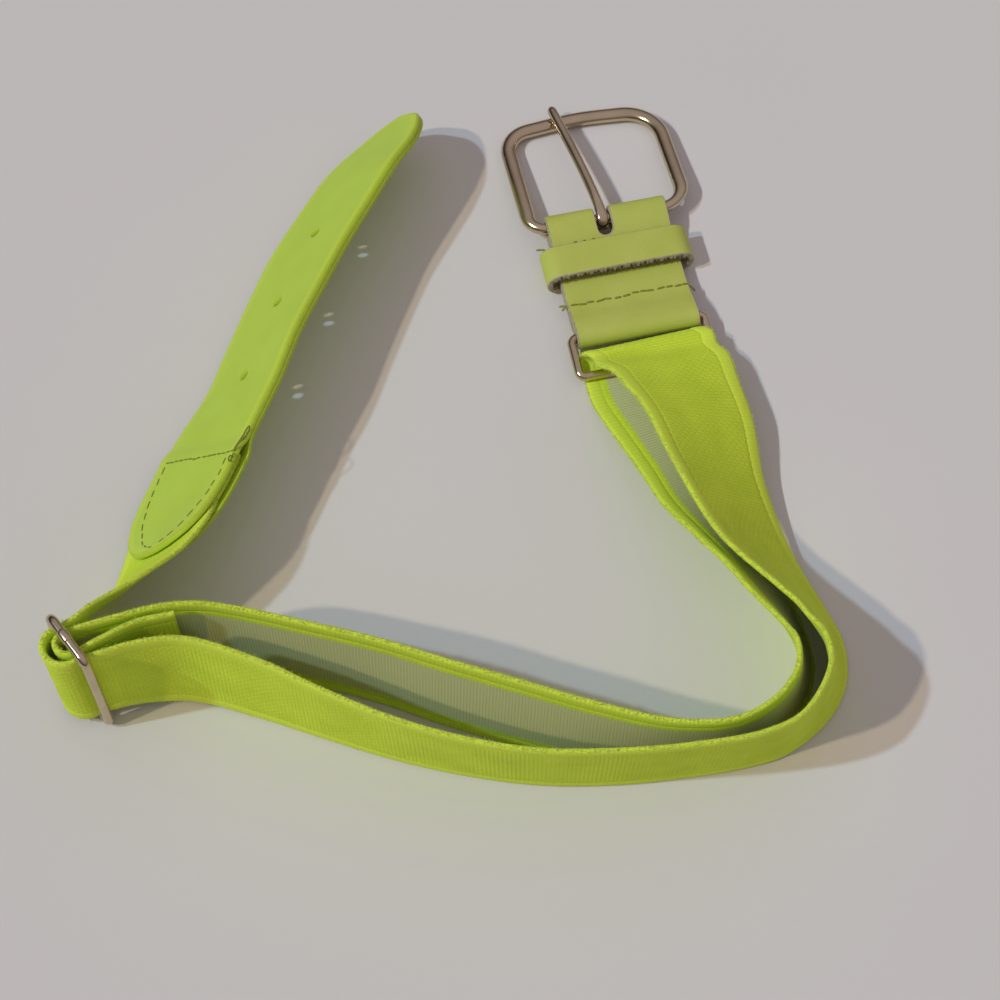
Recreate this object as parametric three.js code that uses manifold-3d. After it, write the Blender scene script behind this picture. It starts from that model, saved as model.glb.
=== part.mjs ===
// Adult uniform belt, unfastened and standing on its edge as it lies on a table.
// Millimetres, +Z up. X runs to the right, Y away from the viewer.
//
// One length of elastic webbing runs from its sewn tail round the slider's centre bar, along the
// inner strand, through the rectangular ring, back along the outer strand, round the slider's
// centre bar again and out as the tip strand, where a leather tip with three holes takes its end.
// A folded leather tab joins the ring to the buckle and carries a leather keeper loop.

import * as THREE from 'three';
import { mergeVertices } from 'three/addons/utils/BufferGeometryUtils.js';
import Module from 'manifold-3d';

// Driving dimensions
const BELT_WIDTH = 38;
const WEB_THICK = 1.8;
const CLEAR = 0.3;
const REST_GAP = 0.1;
const LAYER_GAP = 0.45;
const SECTION_STEP = 4.5;
const SECTION_TURN = 9;

const TIP_FRONT_THICK = 1.5;
const TIP_BACK_THICK = 1.3;
const TIP_LENGTH = 137.4;
const TONGUE_LENGTH = 33.8;
const WEB_TUCK = 5;
const HOLE_DIAMETER = 2.6;
const HOLE_PITCH = 27;
const FIRST_HOLE_FROM_END = 53;

const TAB_LEATHER = 1.7;
const KEEPER_LEATHER = 1.6;
const KEEPER_WIDTH = 11.2;
const KEEPER_INSIDE = 43.2;
const KEEPER_ROOM = 2.4;
const SLOT_WIDTH = 4.8;

const RING_WIRE = 2.8;
const RING_INSIDE_WIDTH = 38.6;
const RING_BAR_SPACING = 12.8;
const RING_CORNER = 1.9;

const FRAME_BAR_WIDTH = 4.2;
const FRAME_BAR_HEIGHT = 4.0;
const HEEL_BAR_RADIUS = 1.8;
const PRONG_DIAMETER = 2.8;
const PRONG_CURL_THICK = 1.5;
const PRONG_CURL_WIDTH = 3.4;

const SLIDER_WIRE = 2.8;
const SLIDER_BAR_DIAMETER = 2.0;
const SLIDER_HEIGHT = 44.7;
const COLLAR_GROWTH = 0.2;
const FRONT_TO_CENTRE = 9.5;
const CENTRE_TO_BACK = 7.5;

// Where the parts lie on the table
const BOX_CENTRE = { x: -11.74, y: 23.61 };
const TAB_CENTRE = { x: 37.1, y: 76.0 };
const TAB_TURN = 12.6;
const SLIDER_FRONT_BAR = { x: -108.1, y: -70.4 };
const SLIDER_TURN = -51.7;

// Heights that follow from the layers lying on each other
const TAB_UNDERSIDE = KEEPER_LEATHER + CLEAR;
const TAB_BODY_TOP = TAB_UNDERSIDE + 2 * TAB_LEATHER + CLEAR;
const HEEL_Z = TAB_UNDERSIDE + TAB_LEATHER + CLEAR + HEEL_BAR_RADIUS;
const HEEL_V = 20.2;
const RING_TOP_Z = TAB_UNDERSIDE + TAB_LEATHER + CLEAR + RING_WIRE / 2;
const RING_TOP_V = -20.2;
const RING_LOW_Z = WEB_THICK + 2 * CLEAR + RING_WIRE / 2;
const RING_LOW_V = RING_TOP_V - RING_BAR_SPACING;
const SLIDER_LIFT = SLIDER_WIRE + 2 * COLLAR_GROWTH + REST_GAP;

const radians = THREE.MathUtils.degToRad;

/** Turns rows of bare numbers into objects with the named columns. */
function table(columns, rows) {
  return rows.map((row) => Object.fromEntries(columns.map((name, i) => [name, row[i]])));
}

/** A rib of the webbing: its lower edge (foot) and its upper edge (head). */
function rib({ x, y, lift, aim, lean }) {
  const tip = radians(lean);
  const way = radians(aim);
  const footZ = REST_GAP + lift + Math.abs(Math.sin(tip)) * WEB_THICK / 2;
  const foot = new THREE.Vector3(x, y, footZ);
  const across = new THREE.Vector3(
    Math.cos(way) * Math.sin(tip),
    Math.sin(way) * Math.sin(tip),
    Math.cos(tip),
  );
  return { foot, head: foot.clone().addScaledVector(across, BELT_WIDTH) };
}

/** A point of the tab's own frame: u across the belt, v towards the buckle, height z. */
function tabPoint(u, v, z) {
  const turn = radians(TAB_TURN);
  return new THREE.Vector3(
    TAB_CENTRE.x + u * Math.cos(turn) - v * Math.sin(turn),
    TAB_CENTRE.y + u * Math.sin(turn) + v * Math.cos(turn),
    z,
  );
}

/** Places a mesh that is built in the tab's own frame. */
function placeOnTab(mesh) {
  mesh.rotation.z = radians(TAB_TURN);
  mesh.position.set(TAB_CENTRE.x, TAB_CENTRE.y, 0);
  return mesh;
}

const sliderWay = new THREE.Vector3(Math.cos(radians(SLIDER_TURN)), Math.sin(radians(SLIDER_TURN)), 0);
const sliderFront = new THREE.Vector3(SLIDER_FRONT_BAR.x, SLIDER_FRONT_BAR.y, 0);
const sliderCentre = sliderFront.clone().addScaledVector(sliderWay, -FRONT_TO_CENTRE);

// The webbing's route. Each row is a rib: where its lower edge stands, how far it is lifted off
// the table, the compass direction its upper edge tips to, and its lean from upright in degrees.
const RIB_COLUMNS = ['x', 'y', 'lift', 'aim', 'lean'];

const TAIL = table(RIB_COLUMNS, [
  [-86.5, -54.4, 2.2, 105, 0],
  [-96.6, -57.2, 2.8, 112, 0],
  [-106.0, -62.6, SLIDER_LIFT, 118, 0],
]);

// From the ring to the slider
const INNER_STRAND = table(RIB_COLUMNS, [
  [63.1, 45.4, 0, -167, 89],
  [64.0, 40.8, 0, -163, 86],
  [67.2, 32.6, 0, -155, 79],
  [71.2, 20.6, 0, -149, 71],
  [73.3, 7.5, 0, -145, 61],
  [76.3, -6.2, 0, -141, 49],
  [79.6, -19.4, 0, -140, 39],
  [82.9, -32.4, 0, -142, 31],
  [86.6, -44.5, 0, -152, 24],
  [88.0, -53.5, 0, -170, 19],
  [86.2, -62.0, 0, 166, 12],
  [81.5, -69.5, 0, 146, 5],
  [73.7, -76.2, 0, 126, 0],
  [62.1, -81.2, 0, 106, -3],
  [46.0, -82.8, 0, 86, -2],
  [24.6, -81.2, 0, 74, 3],
  [5.3, -76.5, 0, 73, 5],
  [-13.9, -70.6, 0, 72, 5],
  [-32.7, -63.8, 0, 73, 4],
  [-52.1, -58.2, 0, 77, 3],
  [-71.9, -53.0, 0, 83, 2],
  [-81.3, -51.5, 0.8, 90, 1],
  [-90.9, -52.2, 1.9, 98, 0],
  [-101.2, -55.5, 2.8, 105, 0],
  [-110.8, -58.8, SLIDER_LIFT, 108, 0],
]);

const OUTER_STRAND = table(RIB_COLUMNS, [
  [65.2, 49.4, 6.4, -166, 86],
  [68.5, 44.6, 7.3, -165, 79],
  [70.7, 35.2, 8.4, -166, 70.7],
  [74.1, 21.7, 8.4, -169, 61.8],
  [76.8, 2.1, 5.3, -170, 50],
  [83.5, -18.2, 2.0, -161, 41],
  [92.7, -36.2, 0, -161, 30.5],
  [96.3, -44.4, 0, -168, 27],
  [97.4, -53.0, 0, 179, 23],
  [95.8, -61.2, 0, 160, 16],
  [90.4, -69.8, 0, 140, 6],
  [78.5, -79.1, 0, 116, -4],
  [67.9, -82.6, 0, 107, -7],
  [49.3, -85.8, 0, 98, -7.5],
  [30.4, -87.7, 0, 93, -7],
  [10.8, -87.7, 0, 86, -7],
  [-8.0, -85.3, 0, 80, -6],
  [-27.4, -80.9, 0, 75, -4],
  [-45.9, -75.1, 0, 72, -1],
  [-65.3, -68.6, 0, 74, 3],
  [-84.2, -63.7, 1.0, 84, 4],
  [-95.6, -64.2, 2.4, 97, 2],
  [-104.5, -66.1, SLIDER_LIFT, 108, 0],
]);

// From the slider to the rounded end of the leather tip
const TIP_STRAND = table(RIB_COLUMNS, [
  [-113.2, -55.9, SLIDER_LIFT, -50, 1],
  [-112.6, -49.2, 2.4, -50, 7],
  [-112.0, -43.1, 1.2, -46, 13],
  [-111.3, -37.0, 0.4, -38, 20],
  [-110.2, -30.7, 0.3, -27, 28],
  [-108.4, -24.2, 0.7, -16, 37],
  [-105.2, -10.8, 1.1, -15, 45],
  [-100.1, 4.0, 1.2, -19, 47],
  [-94.2, 18.6, 0.9, -22, 45],
  [-87.0, 33.1, 0.5, -21, 42],
  [-81.7, 49.2, 0.5, -19, 41.5],
  [-76.2, 65.9, 0.5, -20, 43.5],
  [-70.3, 82.2, 0.5, -23, 45],
  [-62.3, 98.1, 0.5, -27, 44.5],
  [-53.8, 113.5, 0.5, -31, 43.5],
  [-44.9, 125.6, 0.5, -34, 44],
  [-38.5, 135.2, 0.5, -34, 44],
]);

// The loops round the slider's centre bar: bearing from the bar, and distance of the webbing's
// middle from it. The inner loop is the sewn tail's, the outer loop the adjusting one.
const LOOP_COLUMNS = ['bearing', 'reach'];

const INNER_LOOP = table(LOOP_COLUMNS, [
  [-63, 3.8],
  [-90, 3.6],
  [-120, 3.5],
  [-150, 3.4],
  [-180, 3.2],
  [-207, 2.8],
  [-232, 2.45],
  [-256, 2.75],
]);

const OUTER_LOOP = table(LOOP_COLUMNS, [
  [-60, 6.2],
  [-80, 6.5],
  [-104, 6.8],
  [-124, 6.9],
  [-144, 6.9],
  [-164, 6.8],
  [-183, 6.4],
  [-202, 5.8],
  [-219, 5.0],
  [-232, 4.75],
]);

/** Upright ribs round the slider's centre bar. */
function loopRibs(rows) {
  return rows.map(({ bearing, reach }) => {
    const way = radians(bearing);
    return rib({
      x: sliderCentre.x + reach * Math.cos(way),
      y: sliderCentre.y + reach * Math.sin(way),
      lift: SLIDER_LIFT,
      aim: 0,
      lean: 0,
    });
  });
}

/** Ribs of the slack fold round the ring's lower bar, from the layer below to the one above. */
function ringFoldRibs() {
  const outermostV = -24.6;
  const lowZ = REST_GAP + WEB_THICK / 2;
  const highZ = RING_LOW_Z + RING_WIRE + WEB_THICK / 2;
  const radius = (highZ - lowZ) / 2;
  const centreV = outermostV - WEB_THICK / 2 - radius;
  const centreZ = (highZ + lowZ) / 2;
  const rows = table(['bearing', 'middle', 'skew'], [
    [-90, -0.1, 0],
    [-60, -0.1, 0.1],
    [-30, -0.1, 0.3],
    [0, 0, 0.5],
    [30, 0.1, 0.6],
    [60, 1.2, 0.7],
    [90, 2.5, 0.8],
  ]);
  return rows.map(({ bearing, middle, skew }) => {
    const v = centreV + radius * Math.cos(radians(bearing));
    const z = centreZ + radius * Math.sin(radians(bearing));
    return {
      foot: tabPoint(middle + BELT_WIDTH / 2, v + skew, z),
      head: tabPoint(middle - BELT_WIDTH / 2, v - skew, z),
    };
  });
}

const route = [
  ...TAIL.map(rib),
  ...loopRibs(INNER_LOOP),
  ...INNER_STRAND.map(rib).reverse(),
  ...ringFoldRibs(),
  ...OUTER_STRAND.map(rib),
  ...loopRibs(OUTER_LOOP),
  ...TIP_STRAND.map(rib),
];

/** Stations along the whole route, each with its middle, direction across, face normal and travel. */
function routeStations(ribs) {
  const feet = new THREE.CatmullRomCurve3(ribs.map((r) => r.foot));
  const heads = new THREE.CatmullRomCurve3(ribs.map((r) => r.head));
  const spans = ribs.length - 1;
  const stations = [];
  let travel = 0;
  const at = (t) => {
    const foot = feet.getPoint(t);
    const head = heads.getPoint(t);
    return { middle: foot.clone().add(head).multiplyScalar(0.5), across: head.sub(foot).normalize() };
  };
  const middles = ribs.map((r) => r.foot.clone().add(r.head).multiplyScalar(0.5));
  const tangents = middles.map((m, i) => middles[Math.min(spans, i + 1)].clone()
    .sub(middles[Math.max(0, i - 1)]));
  for (let span = 0; span < spans; span += 1) {
    const from = middles[span];
    const to = middles[span + 1];
    const bend = tangents[span].angleTo(tangents[span + 1]);
    const pieces = Math.max(1, Math.round(from.distanceTo(to) / SECTION_STEP),
      Math.round(bend / radians(SECTION_TURN)));
    const last = span === spans - 1 ? pieces : pieces - 1;
    for (let piece = 0; piece <= last; piece += 1) {
      const t = (span + piece / pieces) / spans;
      const station = at(t);
      const ahead = at(Math.min(1, t + 1e-4)).middle;
      const behind = at(Math.max(0, t - 1e-4)).middle;
      station.normal = ahead.sub(behind).cross(station.across).normalize();
      if (stations.length > 0) {
        travel += station.middle.distanceTo(stations[stations.length - 1].middle);
      }
      station.travel = travel;
      stations.push(station);
    }
  }
  return stations;
}

const stations = routeStations(route);
const routeLength = stations[stations.length - 1].travel;
const stitchLine = routeLength - TIP_LENGTH;

/** The station at any travel, between its two neighbours. */
function stationAt(travel) {
  const next = Math.max(1, stations.findIndex((s) => s.travel >= travel - 1e-6));
  const a = stations[next - 1];
  const b = stations[next];
  const share = THREE.MathUtils.clamp((travel - a.travel) / (b.travel - a.travel), 0, 1);
  const mix = (name) => a[name].clone().lerp(b[name], share);
  return {
    middle: mix('middle'),
    across: mix('across').normalize(),
    normal: mix('normal').normalize(),
    travel,
  };
}

/** A closed body lofted through rings of points that all have the same count. */
function loft(rings, closed = false) {
  const sides = rings[0].length;
  const positions = rings.flat().flatMap((p) => [p.x, p.y, p.z]);
  const index = [];
  const spans = closed ? rings.length : rings.length - 1;
  for (let i = 0; i < spans; i += 1) {
    const here = i * sides;
    const there = ((i + 1) % rings.length) * sides;
    for (let j = 0; j < sides; j += 1) {
      const k = (j + 1) % sides;
      index.push(here + j, here + k, there + k, here + j, there + k, there + j);
    }
  }
  if (!closed) {
    const end = (rings.length - 1) * sides;
    for (let j = 1; j < sides - 1; j += 1) {
      index.push(0, j + 1, j);
      index.push(end, end + j, end + j + 1);
    }
  }
  const geometry = new THREE.BufferGeometry();
  geometry.setAttribute('position', new THREE.Float32BufferAttribute(positions, 3));
  geometry.setIndex(index);
  return facingOut(geometry);
}

/** Turns every face round if the body's volume comes out negative. */
function facingOut(geometry) {
  const p = geometry.getAttribute('position');
  const index = geometry.getIndex();
  const corner = [new THREE.Vector3(), new THREE.Vector3(), new THREE.Vector3()];
  let volume = 0;
  for (let i = 0; i < index.count; i += 3) {
    corner.forEach((c, j) => c.fromBufferAttribute(p, index.getX(i + j)));
    volume += corner[0].dot(corner[1].clone().cross(corner[2]));
  }
  if (volume < 0) {
    for (let i = 0; i < index.count; i += 3) {
      const second = index.getX(i + 1);
      index.setX(i + 1, index.getX(i + 2));
      index.setX(i + 2, second);
    }
  }
  geometry.computeVertexNormals();
  return geometry;
}

/** The ring of a flat band's section: from and to are measured from the middle along across. */
function bandRing(station, from, to, offset, thick, bevel) {
  const half = thick / 2;
  const corners = [
    [from, -half + bevel], [from + bevel, -half], [to - bevel, -half], [to, -half + bevel],
    [to, half - bevel], [to - bevel, half], [from + bevel, half], [from, half - bevel],
  ];
  return corners.map(([a, n]) => station.middle.clone()
    .addScaledVector(station.across, a)
    .addScaledVector(station.normal, n + offset));
}

function buildWebbing() {
  const end = stitchLine + WEB_TUCK;
  const run = stations.filter((s) => s.travel < end - 1);
  run.push(stationAt(end));
  const half = BELT_WIDTH / 2;
  return loft(run.map((s) => bandRing(s, -half, half, 0, WEB_THICK, 0.5)));
}

/** Half width of the leather tip at a distance back from its rounded end. */
function tipHalfWidth(back) {
  const taper = 31;
  const nose = 1.6;
  if (back >= taper) {
    return BELT_WIDTH / 2;
  }
  const share = 1 - back / taper;
  return nose + (BELT_WIDTH / 2 - nose) * Math.sqrt(1 - share ** 1.6);
}

/** Half width of a stitched tongue at a distance from the stitch line towards its rounded end. */
function tongueHalfWidth(ahead) {
  const nose = 1.2;
  const inset = 0.4;
  const share = THREE.MathUtils.clamp(ahead / TONGUE_LENGTH, 0, 1);
  return nose + (BELT_WIDTH / 2 - inset - nose) * Math.sqrt(1 - share ** 5.5);
}

/** One leather layer of the tip; side is 1 for the face towards the middle of the belt's bow. */
function buildTipLayer(side, thick) {
  const closedOffset = side * (thick / 2 + LAYER_GAP / 2);
  const openOffset = side * (WEB_THICK / 2 + LAYER_GAP + thick / 2);
  const rings = [];
  const add = (travel) => {
    const ahead = stitchLine - travel;
    const back = routeLength - travel;
    const opening = THREE.MathUtils.smoothstep(ahead, -WEB_TUCK - 9, -WEB_TUCK - 1);
    const offset = THREE.MathUtils.lerp(closedOffset, openOffset, opening);
    const half = ahead > 0 ? tongueHalfWidth(ahead) : tipHalfWidth(back);
    rings.push(bandRing(stationAt(travel), -half, half, offset, thick, 0.4));
  };
  for (const share of [1, 0.992, 0.97, 0.93, 0.88, 0.8, 0.7, 0.6, 0.5, 0.4, 0.3, 0.2, 0.1, 0.01]) {
    add(stitchLine - TONGUE_LENGTH * share);
  }
  const straight = TIP_LENGTH - 36;
  const steps = Math.round(straight / 3.4);
  for (let i = 0; i <= steps; i += 1) {
    add(stitchLine + 0.2 + (straight - 0.2) * i / steps);
  }
  for (const back of [30, 25, 20, 15, 11, 7.5, 4.5, 2.3, 0.8, 0]) {
    add(routeLength - back);
  }
  return loft(rings);
}

/** A closed mesh as a solid that can be joined or cut. */
function toSolid(wasm, geometry) {
  const bare = geometry.clone();
  bare.deleteAttribute('normal');
  bare.deleteAttribute('uv');
  const merged = mergeVertices(bare, 1e-4);
  return new wasm.Manifold(new wasm.Mesh({
    numProp: 3,
    vertProperties: new Float32Array(merged.getAttribute('position').array),
    triVerts: new Uint32Array(merged.getIndex().array),
  }));
}

/** A solid back to a geometry. */
function toGeometry(solid) {
  const mesh = solid.getMesh();
  const geometry = new THREE.BufferGeometry();
  geometry.setAttribute('position', new THREE.BufferAttribute(new Float32Array(mesh.vertProperties), 3));
  geometry.setIndex(new THREE.BufferAttribute(new Uint32Array(mesh.triVerts), 1));
  geometry.computeVertexNormals();
  return geometry;
}

/** The tip's three round holes, as pins that stand through both layers. */
function holePins() {
  const pins = [];
  for (let i = 0; i < 3; i += 1) {
    const s = stationAt(routeLength - FIRST_HOLE_FROM_END - i * HOLE_PITCH);
    const pin = new THREE.CylinderGeometry(HOLE_DIAMETER / 2, HOLE_DIAMETER / 2, 14, 16);
    pin.applyQuaternion(new THREE.Quaternion().setFromUnitVectors(new THREE.Vector3(0, 1, 0), s.normal));
    pin.translate(s.middle.x, s.middle.y, s.middle.z);
    pins.push(pin);
  }
  return pins;
}

function cutAll(wasm, geometry, cutters) {
  return toGeometry(cutters.reduce((solid, cutter) => solid.subtract(toSolid(wasm, cutter)),
    toSolid(wasm, geometry)));
}

/** The outline of a bent strip of leather: its middle line thickened to both sides. */
function stripShape(line, thick) {
  const left = [];
  const right = [];
  line.forEach((point, i) => {
    const before = line[Math.max(0, i - 1)];
    const after = line[Math.min(line.length - 1, i + 1)];
    const way = after.clone().sub(before).normalize();
    const side = new THREE.Vector2(-way.y, way.x).multiplyScalar(thick / 2);
    left.push(point.clone().add(side));
    right.push(point.clone().sub(side));
  });
  return new THREE.Shape([...left, ...right.reverse()]);
}

/** Points of an arc, bearings in degrees. */
function arc(cx, cy, radius, from, to, steps) {
  const points = [];
  for (let i = 0; i <= steps; i += 1) {
    const bearing = radians(from + (to - from) * i / steps);
    points.push(new THREE.Vector2(cx + radius * Math.cos(bearing), cy + radius * Math.sin(bearing)));
  }
  return points;
}

/** The tab's middle line in its own v and z, from the butt underneath and all the way round. */
function tabLine() {
  const half = TAB_LEATHER / 2;
  const under = TAB_UNDERSIDE + half;
  const over = TAB_BODY_TOP - half;
  const butt = 3;
  return [
    new THREE.Vector2(butt - 0.4, under),
    new THREE.Vector2(-10, under),
    ...arc(RING_TOP_V, RING_TOP_Z, RING_WIRE / 2 + CLEAR + half, -90, -262, 10),
    new THREE.Vector2(-16.5, RING_TOP_Z + RING_WIRE / 2 + CLEAR + half - 0.6),
    new THREE.Vector2(-12, over + 0.9),
    new THREE.Vector2(-7.5, over + 0.05),
    new THREE.Vector2(0, over),
    new THREE.Vector2(7, over + 0.1),
    new THREE.Vector2(11.5, over + 1.3),
    new THREE.Vector2(15.5, over + 3.0),
    ...arc(HEEL_V, HEEL_Z, HEEL_BAR_RADIUS + CLEAR + half, 100, -90, 11),
    new THREE.Vector2(butt + 0.4, under),
  ];
}

/** Extrudes an outline drawn in v and z along u, centred on u. */
function extrudeAlongU(shape, width) {
  const geometry = new THREE.ExtrudeGeometry(shape, { depth: width, bevelEnabled: false });
  geometry.translate(0, 0, -width / 2);
  geometry.applyMatrix4(new THREE.Matrix4().makeBasis(
    new THREE.Vector3(0, 1, 0),
    new THREE.Vector3(0, 0, 1),
    new THREE.Vector3(1, 0, 0),
  ));
  return geometry;
}

const PRONG_U = -1.3;
const SLOT_END_V = 13.2;

function buildTab(wasm) {
  const body = extrudeAlongU(stripShape(tabLine(), TAB_LEATHER), BELT_WIDTH);
  const reach = 14;
  const slot = new THREE.BoxGeometry(SLOT_WIDTH, reach, 20);
  slot.translate(PRONG_U, SLOT_END_V + SLOT_WIDTH / 2 + reach / 2, HEEL_Z);
  const round = new THREE.CylinderGeometry(SLOT_WIDTH / 2, SLOT_WIDTH / 2, 20, 16);
  round.rotateX(Math.PI / 2);
  round.translate(PRONG_U, SLOT_END_V + SLOT_WIDTH / 2, HEEL_Z);
  return cutAll(wasm, body, [slot, round]);
}

/** The keeper: a leather loop round the tab, butted underneath beside the middle. */
function buildKeeper() {
  const half = KEEPER_LEATHER / 2;
  const halfWidth = KEEPER_INSIDE / 2 + half;
  const under = half;
  const over = TAB_BODY_TOP + KEEPER_ROOM + half;
  const bend = (over - under) / 2;
  const middle = (over + under) / 2;
  const straight = halfWidth - bend;
  const butt = 13;
  const line = [
    new THREE.Vector2(butt - 0.3, under),
    ...arc(-straight, middle, bend, -90, -270, 10),
    ...arc(straight, middle, bend, 90, -90, 10),
    new THREE.Vector2(butt + 0.3, under),
  ];
  const geometry = new THREE.ExtrudeGeometry(stripShape(line, KEEPER_LEATHER), {
    depth: KEEPER_WIDTH,
    bevelEnabled: false,
  });
  geometry.rotateX(Math.PI / 2);
  return geometry;
}

/** Points round a loop of straight bars whose corners are rounded by their own radius. */
function roundedLoop(corners, cornerSteps) {
  const points = [];
  corners.forEach(({ u, v, radius }, i) => {
    const here = new THREE.Vector2(u, v);
    const before = corners[(i + corners.length - 1) % corners.length];
    const after = corners[(i + 1) % corners.length];
    const inWay = here.clone().sub(new THREE.Vector2(before.u, before.v)).normalize();
    const outWay = new THREE.Vector2(after.u, after.v).sub(here).normalize();
    const turn = Math.atan2(inWay.cross(outWay), inWay.dot(outWay));
    const reach = radius * Math.tan(Math.abs(turn) / 2);
    const start = here.clone().addScaledVector(inWay, -reach);
    const side = Math.sign(turn);
    const centre = start.clone().add(new THREE.Vector2(-inWay.y, inWay.x).multiplyScalar(side * radius));
    const steps = Math.max(2, Math.round(cornerSteps * Math.abs(turn) / (Math.PI / 2)));
    for (let k = 0; k <= steps; k += 1) {
      points.push(start.clone().rotateAround(centre, turn * k / steps));
    }
  });
  return points;
}

/** Sweeps a section round a closed loop of 3-D points; up is the loop plane's normal. */
function sweepLoop(points, up, section) {
  const count = points.length;
  const rings = points.map((point, i) => {
    const way = points[(i + 1) % count].clone().sub(points[(i + count - 1) % count]).normalize();
    const side = new THREE.Vector3().crossVectors(way, up).normalize();
    const shape = typeof section === 'function' ? section(i) : section;
    return shape.map(([a, b]) => point.clone().addScaledVector(side, a).addScaledVector(up, b));
  });
  return loft(rings, true);
}

/** A rounded section of the given width and height, with a flat facet below and above. */
function ovalSection(width, height, sides) {
  const section = [];
  for (let i = 0; i < sides; i += 1) {
    const bearing = 2 * Math.PI * (i + 0.5) / sides + Math.PI / 2;
    const scale = 1 / Math.cos(Math.PI / sides);
    section.push([width / 2 * Math.cos(bearing), height / 2 * scale * Math.sin(bearing)]);
  }
  return section;
}

const FRAME_CORNERS = table(['u', 'v', 'radius'], [
  [-23.4, HEEL_V, 5.2],
  [25.9, HEEL_V, 6.8],
  [25.9, 59.6, 11],
  [1.0, 62.0, 70],
  [-23.4, 59.9, 8.5],
]);
const FRAME_FRONT_V = 62.0;
const FRAME_FRONT_Z = FRAME_BAR_HEIGHT / 2 + 0.02;

/** Height of the buckle frame's plane, which falls from the heel bar to the front bar. */
function frameHeight(v) {
  return THREE.MathUtils.mapLinear(v, HEEL_V, FRAME_FRONT_V, HEEL_Z, FRAME_FRONT_Z);
}

function buildFrame() {
  const loop = roundedLoop(FRAME_CORNERS, 7);
  const points = loop.map((p) => new THREE.Vector3(p.x, p.y, frameHeight(p.y)));
  const slope = Math.atan2(HEEL_Z - FRAME_FRONT_Z, FRAME_FRONT_V - HEEL_V);
  const up = new THREE.Vector3(0, Math.sin(slope), Math.cos(slope));
  const bar = ovalSection(FRAME_BAR_WIDTH, FRAME_BAR_HEIGHT, 12);
  const heel = ovalSection(2 * HEEL_BAR_RADIUS, 2 * HEEL_BAR_RADIUS * Math.cos(Math.PI / 12), 12);
  const thinning = (v) => THREE.MathUtils.smoothstep(v, HEEL_V + 0.5, HEEL_V + 7);
  return sweepLoop(points, up, (i) => {
    const share = thinning(loop[i].y);
    return bar.map(([a, b], k) => [
      THREE.MathUtils.lerp(heel[k][0], a, share),
      THREE.MathUtils.lerp(heel[k][1], b, share),
    ]);
  });
}

/** The prong: a flattened curl round the heel bar that runs out into a round pin. */
function buildProng() {
  const curl = HEEL_BAR_RADIUS + CLEAR + PRONG_CURL_THICK / 2;
  const tipU = -7.0;
  const tipV = 64.4;
  const restZ = FRAME_FRONT_Z + FRAME_BAR_HEIGHT / 2 + CLEAR + PRONG_DIAMETER / 2;
  const path = [];
  for (let bearing = 320; bearing >= 100; bearing -= 20) {
    path.push({
      at: new THREE.Vector3(PRONG_U, HEEL_V + curl * Math.cos(radians(bearing)),
        HEEL_Z + curl * Math.sin(radians(bearing))),
      width: PRONG_CURL_WIDTH,
      thick: PRONG_CURL_THICK,
    });
  }
  const shank = table(['share', 'rise', 'size'], [
    [0.04, 0.1, 0.35],
    [0.1, 0.35, 0.75],
    [0.18, 0.5, 1],
    [0.4, 0.5, 1],
    [0.65, 0.35, 1],
    [0.88, 0.1, 1],
    [0.955, 0, 0.98],
    [0.985, -0.05, 0.78],
    [1, -0.1, 0.4],
  ]);
  for (const { share, rise, size } of shank) {
    const grown = share < 0.2 ? size : 1;
    const full = share > 0.9 ? size : 1;
    path.push({
      at: new THREE.Vector3(
        THREE.MathUtils.lerp(PRONG_U, tipU, share ** 1.3),
        THREE.MathUtils.lerp(HEEL_V, tipV, share),
        THREE.MathUtils.lerp(HEEL_Z + curl, restZ, share) + rise,
      ),
      width: THREE.MathUtils.lerp(PRONG_CURL_WIDTH, PRONG_DIAMETER, grown) * full,
      thick: THREE.MathUtils.lerp(PRONG_CURL_THICK, PRONG_DIAMETER, grown) * full,
    });
  }
  const rings = path.map(({ at, width, thick }, i) => {
    const before = path[Math.max(0, i - 1)].at;
    const after = path[Math.min(path.length - 1, i + 1)].at;
    const way = after.clone().sub(before).normalize();
    const side = new THREE.Vector3(1, 0, 0).addScaledVector(way, -way.x).normalize();
    const up = new THREE.Vector3().crossVectors(side, way);
    return ovalSection(width, thick, 10).map(([a, b]) => at.clone()
      .addScaledVector(side, a)
      .addScaledVector(up, b));
  });
  return loft(rings);
}

function buildRing() {
  const halfWidth = (RING_INSIDE_WIDTH + RING_WIRE) / 2;
  const corners = table(['u', 'v', 'radius'], [
    [-halfWidth, RING_LOW_V, RING_CORNER],
    [halfWidth, RING_LOW_V, RING_CORNER],
    [halfWidth, RING_TOP_V, RING_CORNER],
    [-halfWidth, RING_TOP_V, RING_CORNER],
  ]);
  const height = (v) => THREE.MathUtils.mapLinear(v, RING_TOP_V, RING_LOW_V, RING_TOP_Z, RING_LOW_Z);
  const points = roundedLoop(corners, 4).map((p) => new THREE.Vector3(p.x, p.y, height(p.y)));
  const slope = Math.atan2(RING_LOW_Z - RING_TOP_Z, RING_TOP_V - RING_LOW_V);
  const up = new THREE.Vector3(0, Math.sin(slope), Math.cos(slope));
  return sweepLoop(points, up, ovalSection(RING_WIRE, RING_WIRE * Math.cos(Math.PI / 10), 10));
}

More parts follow.
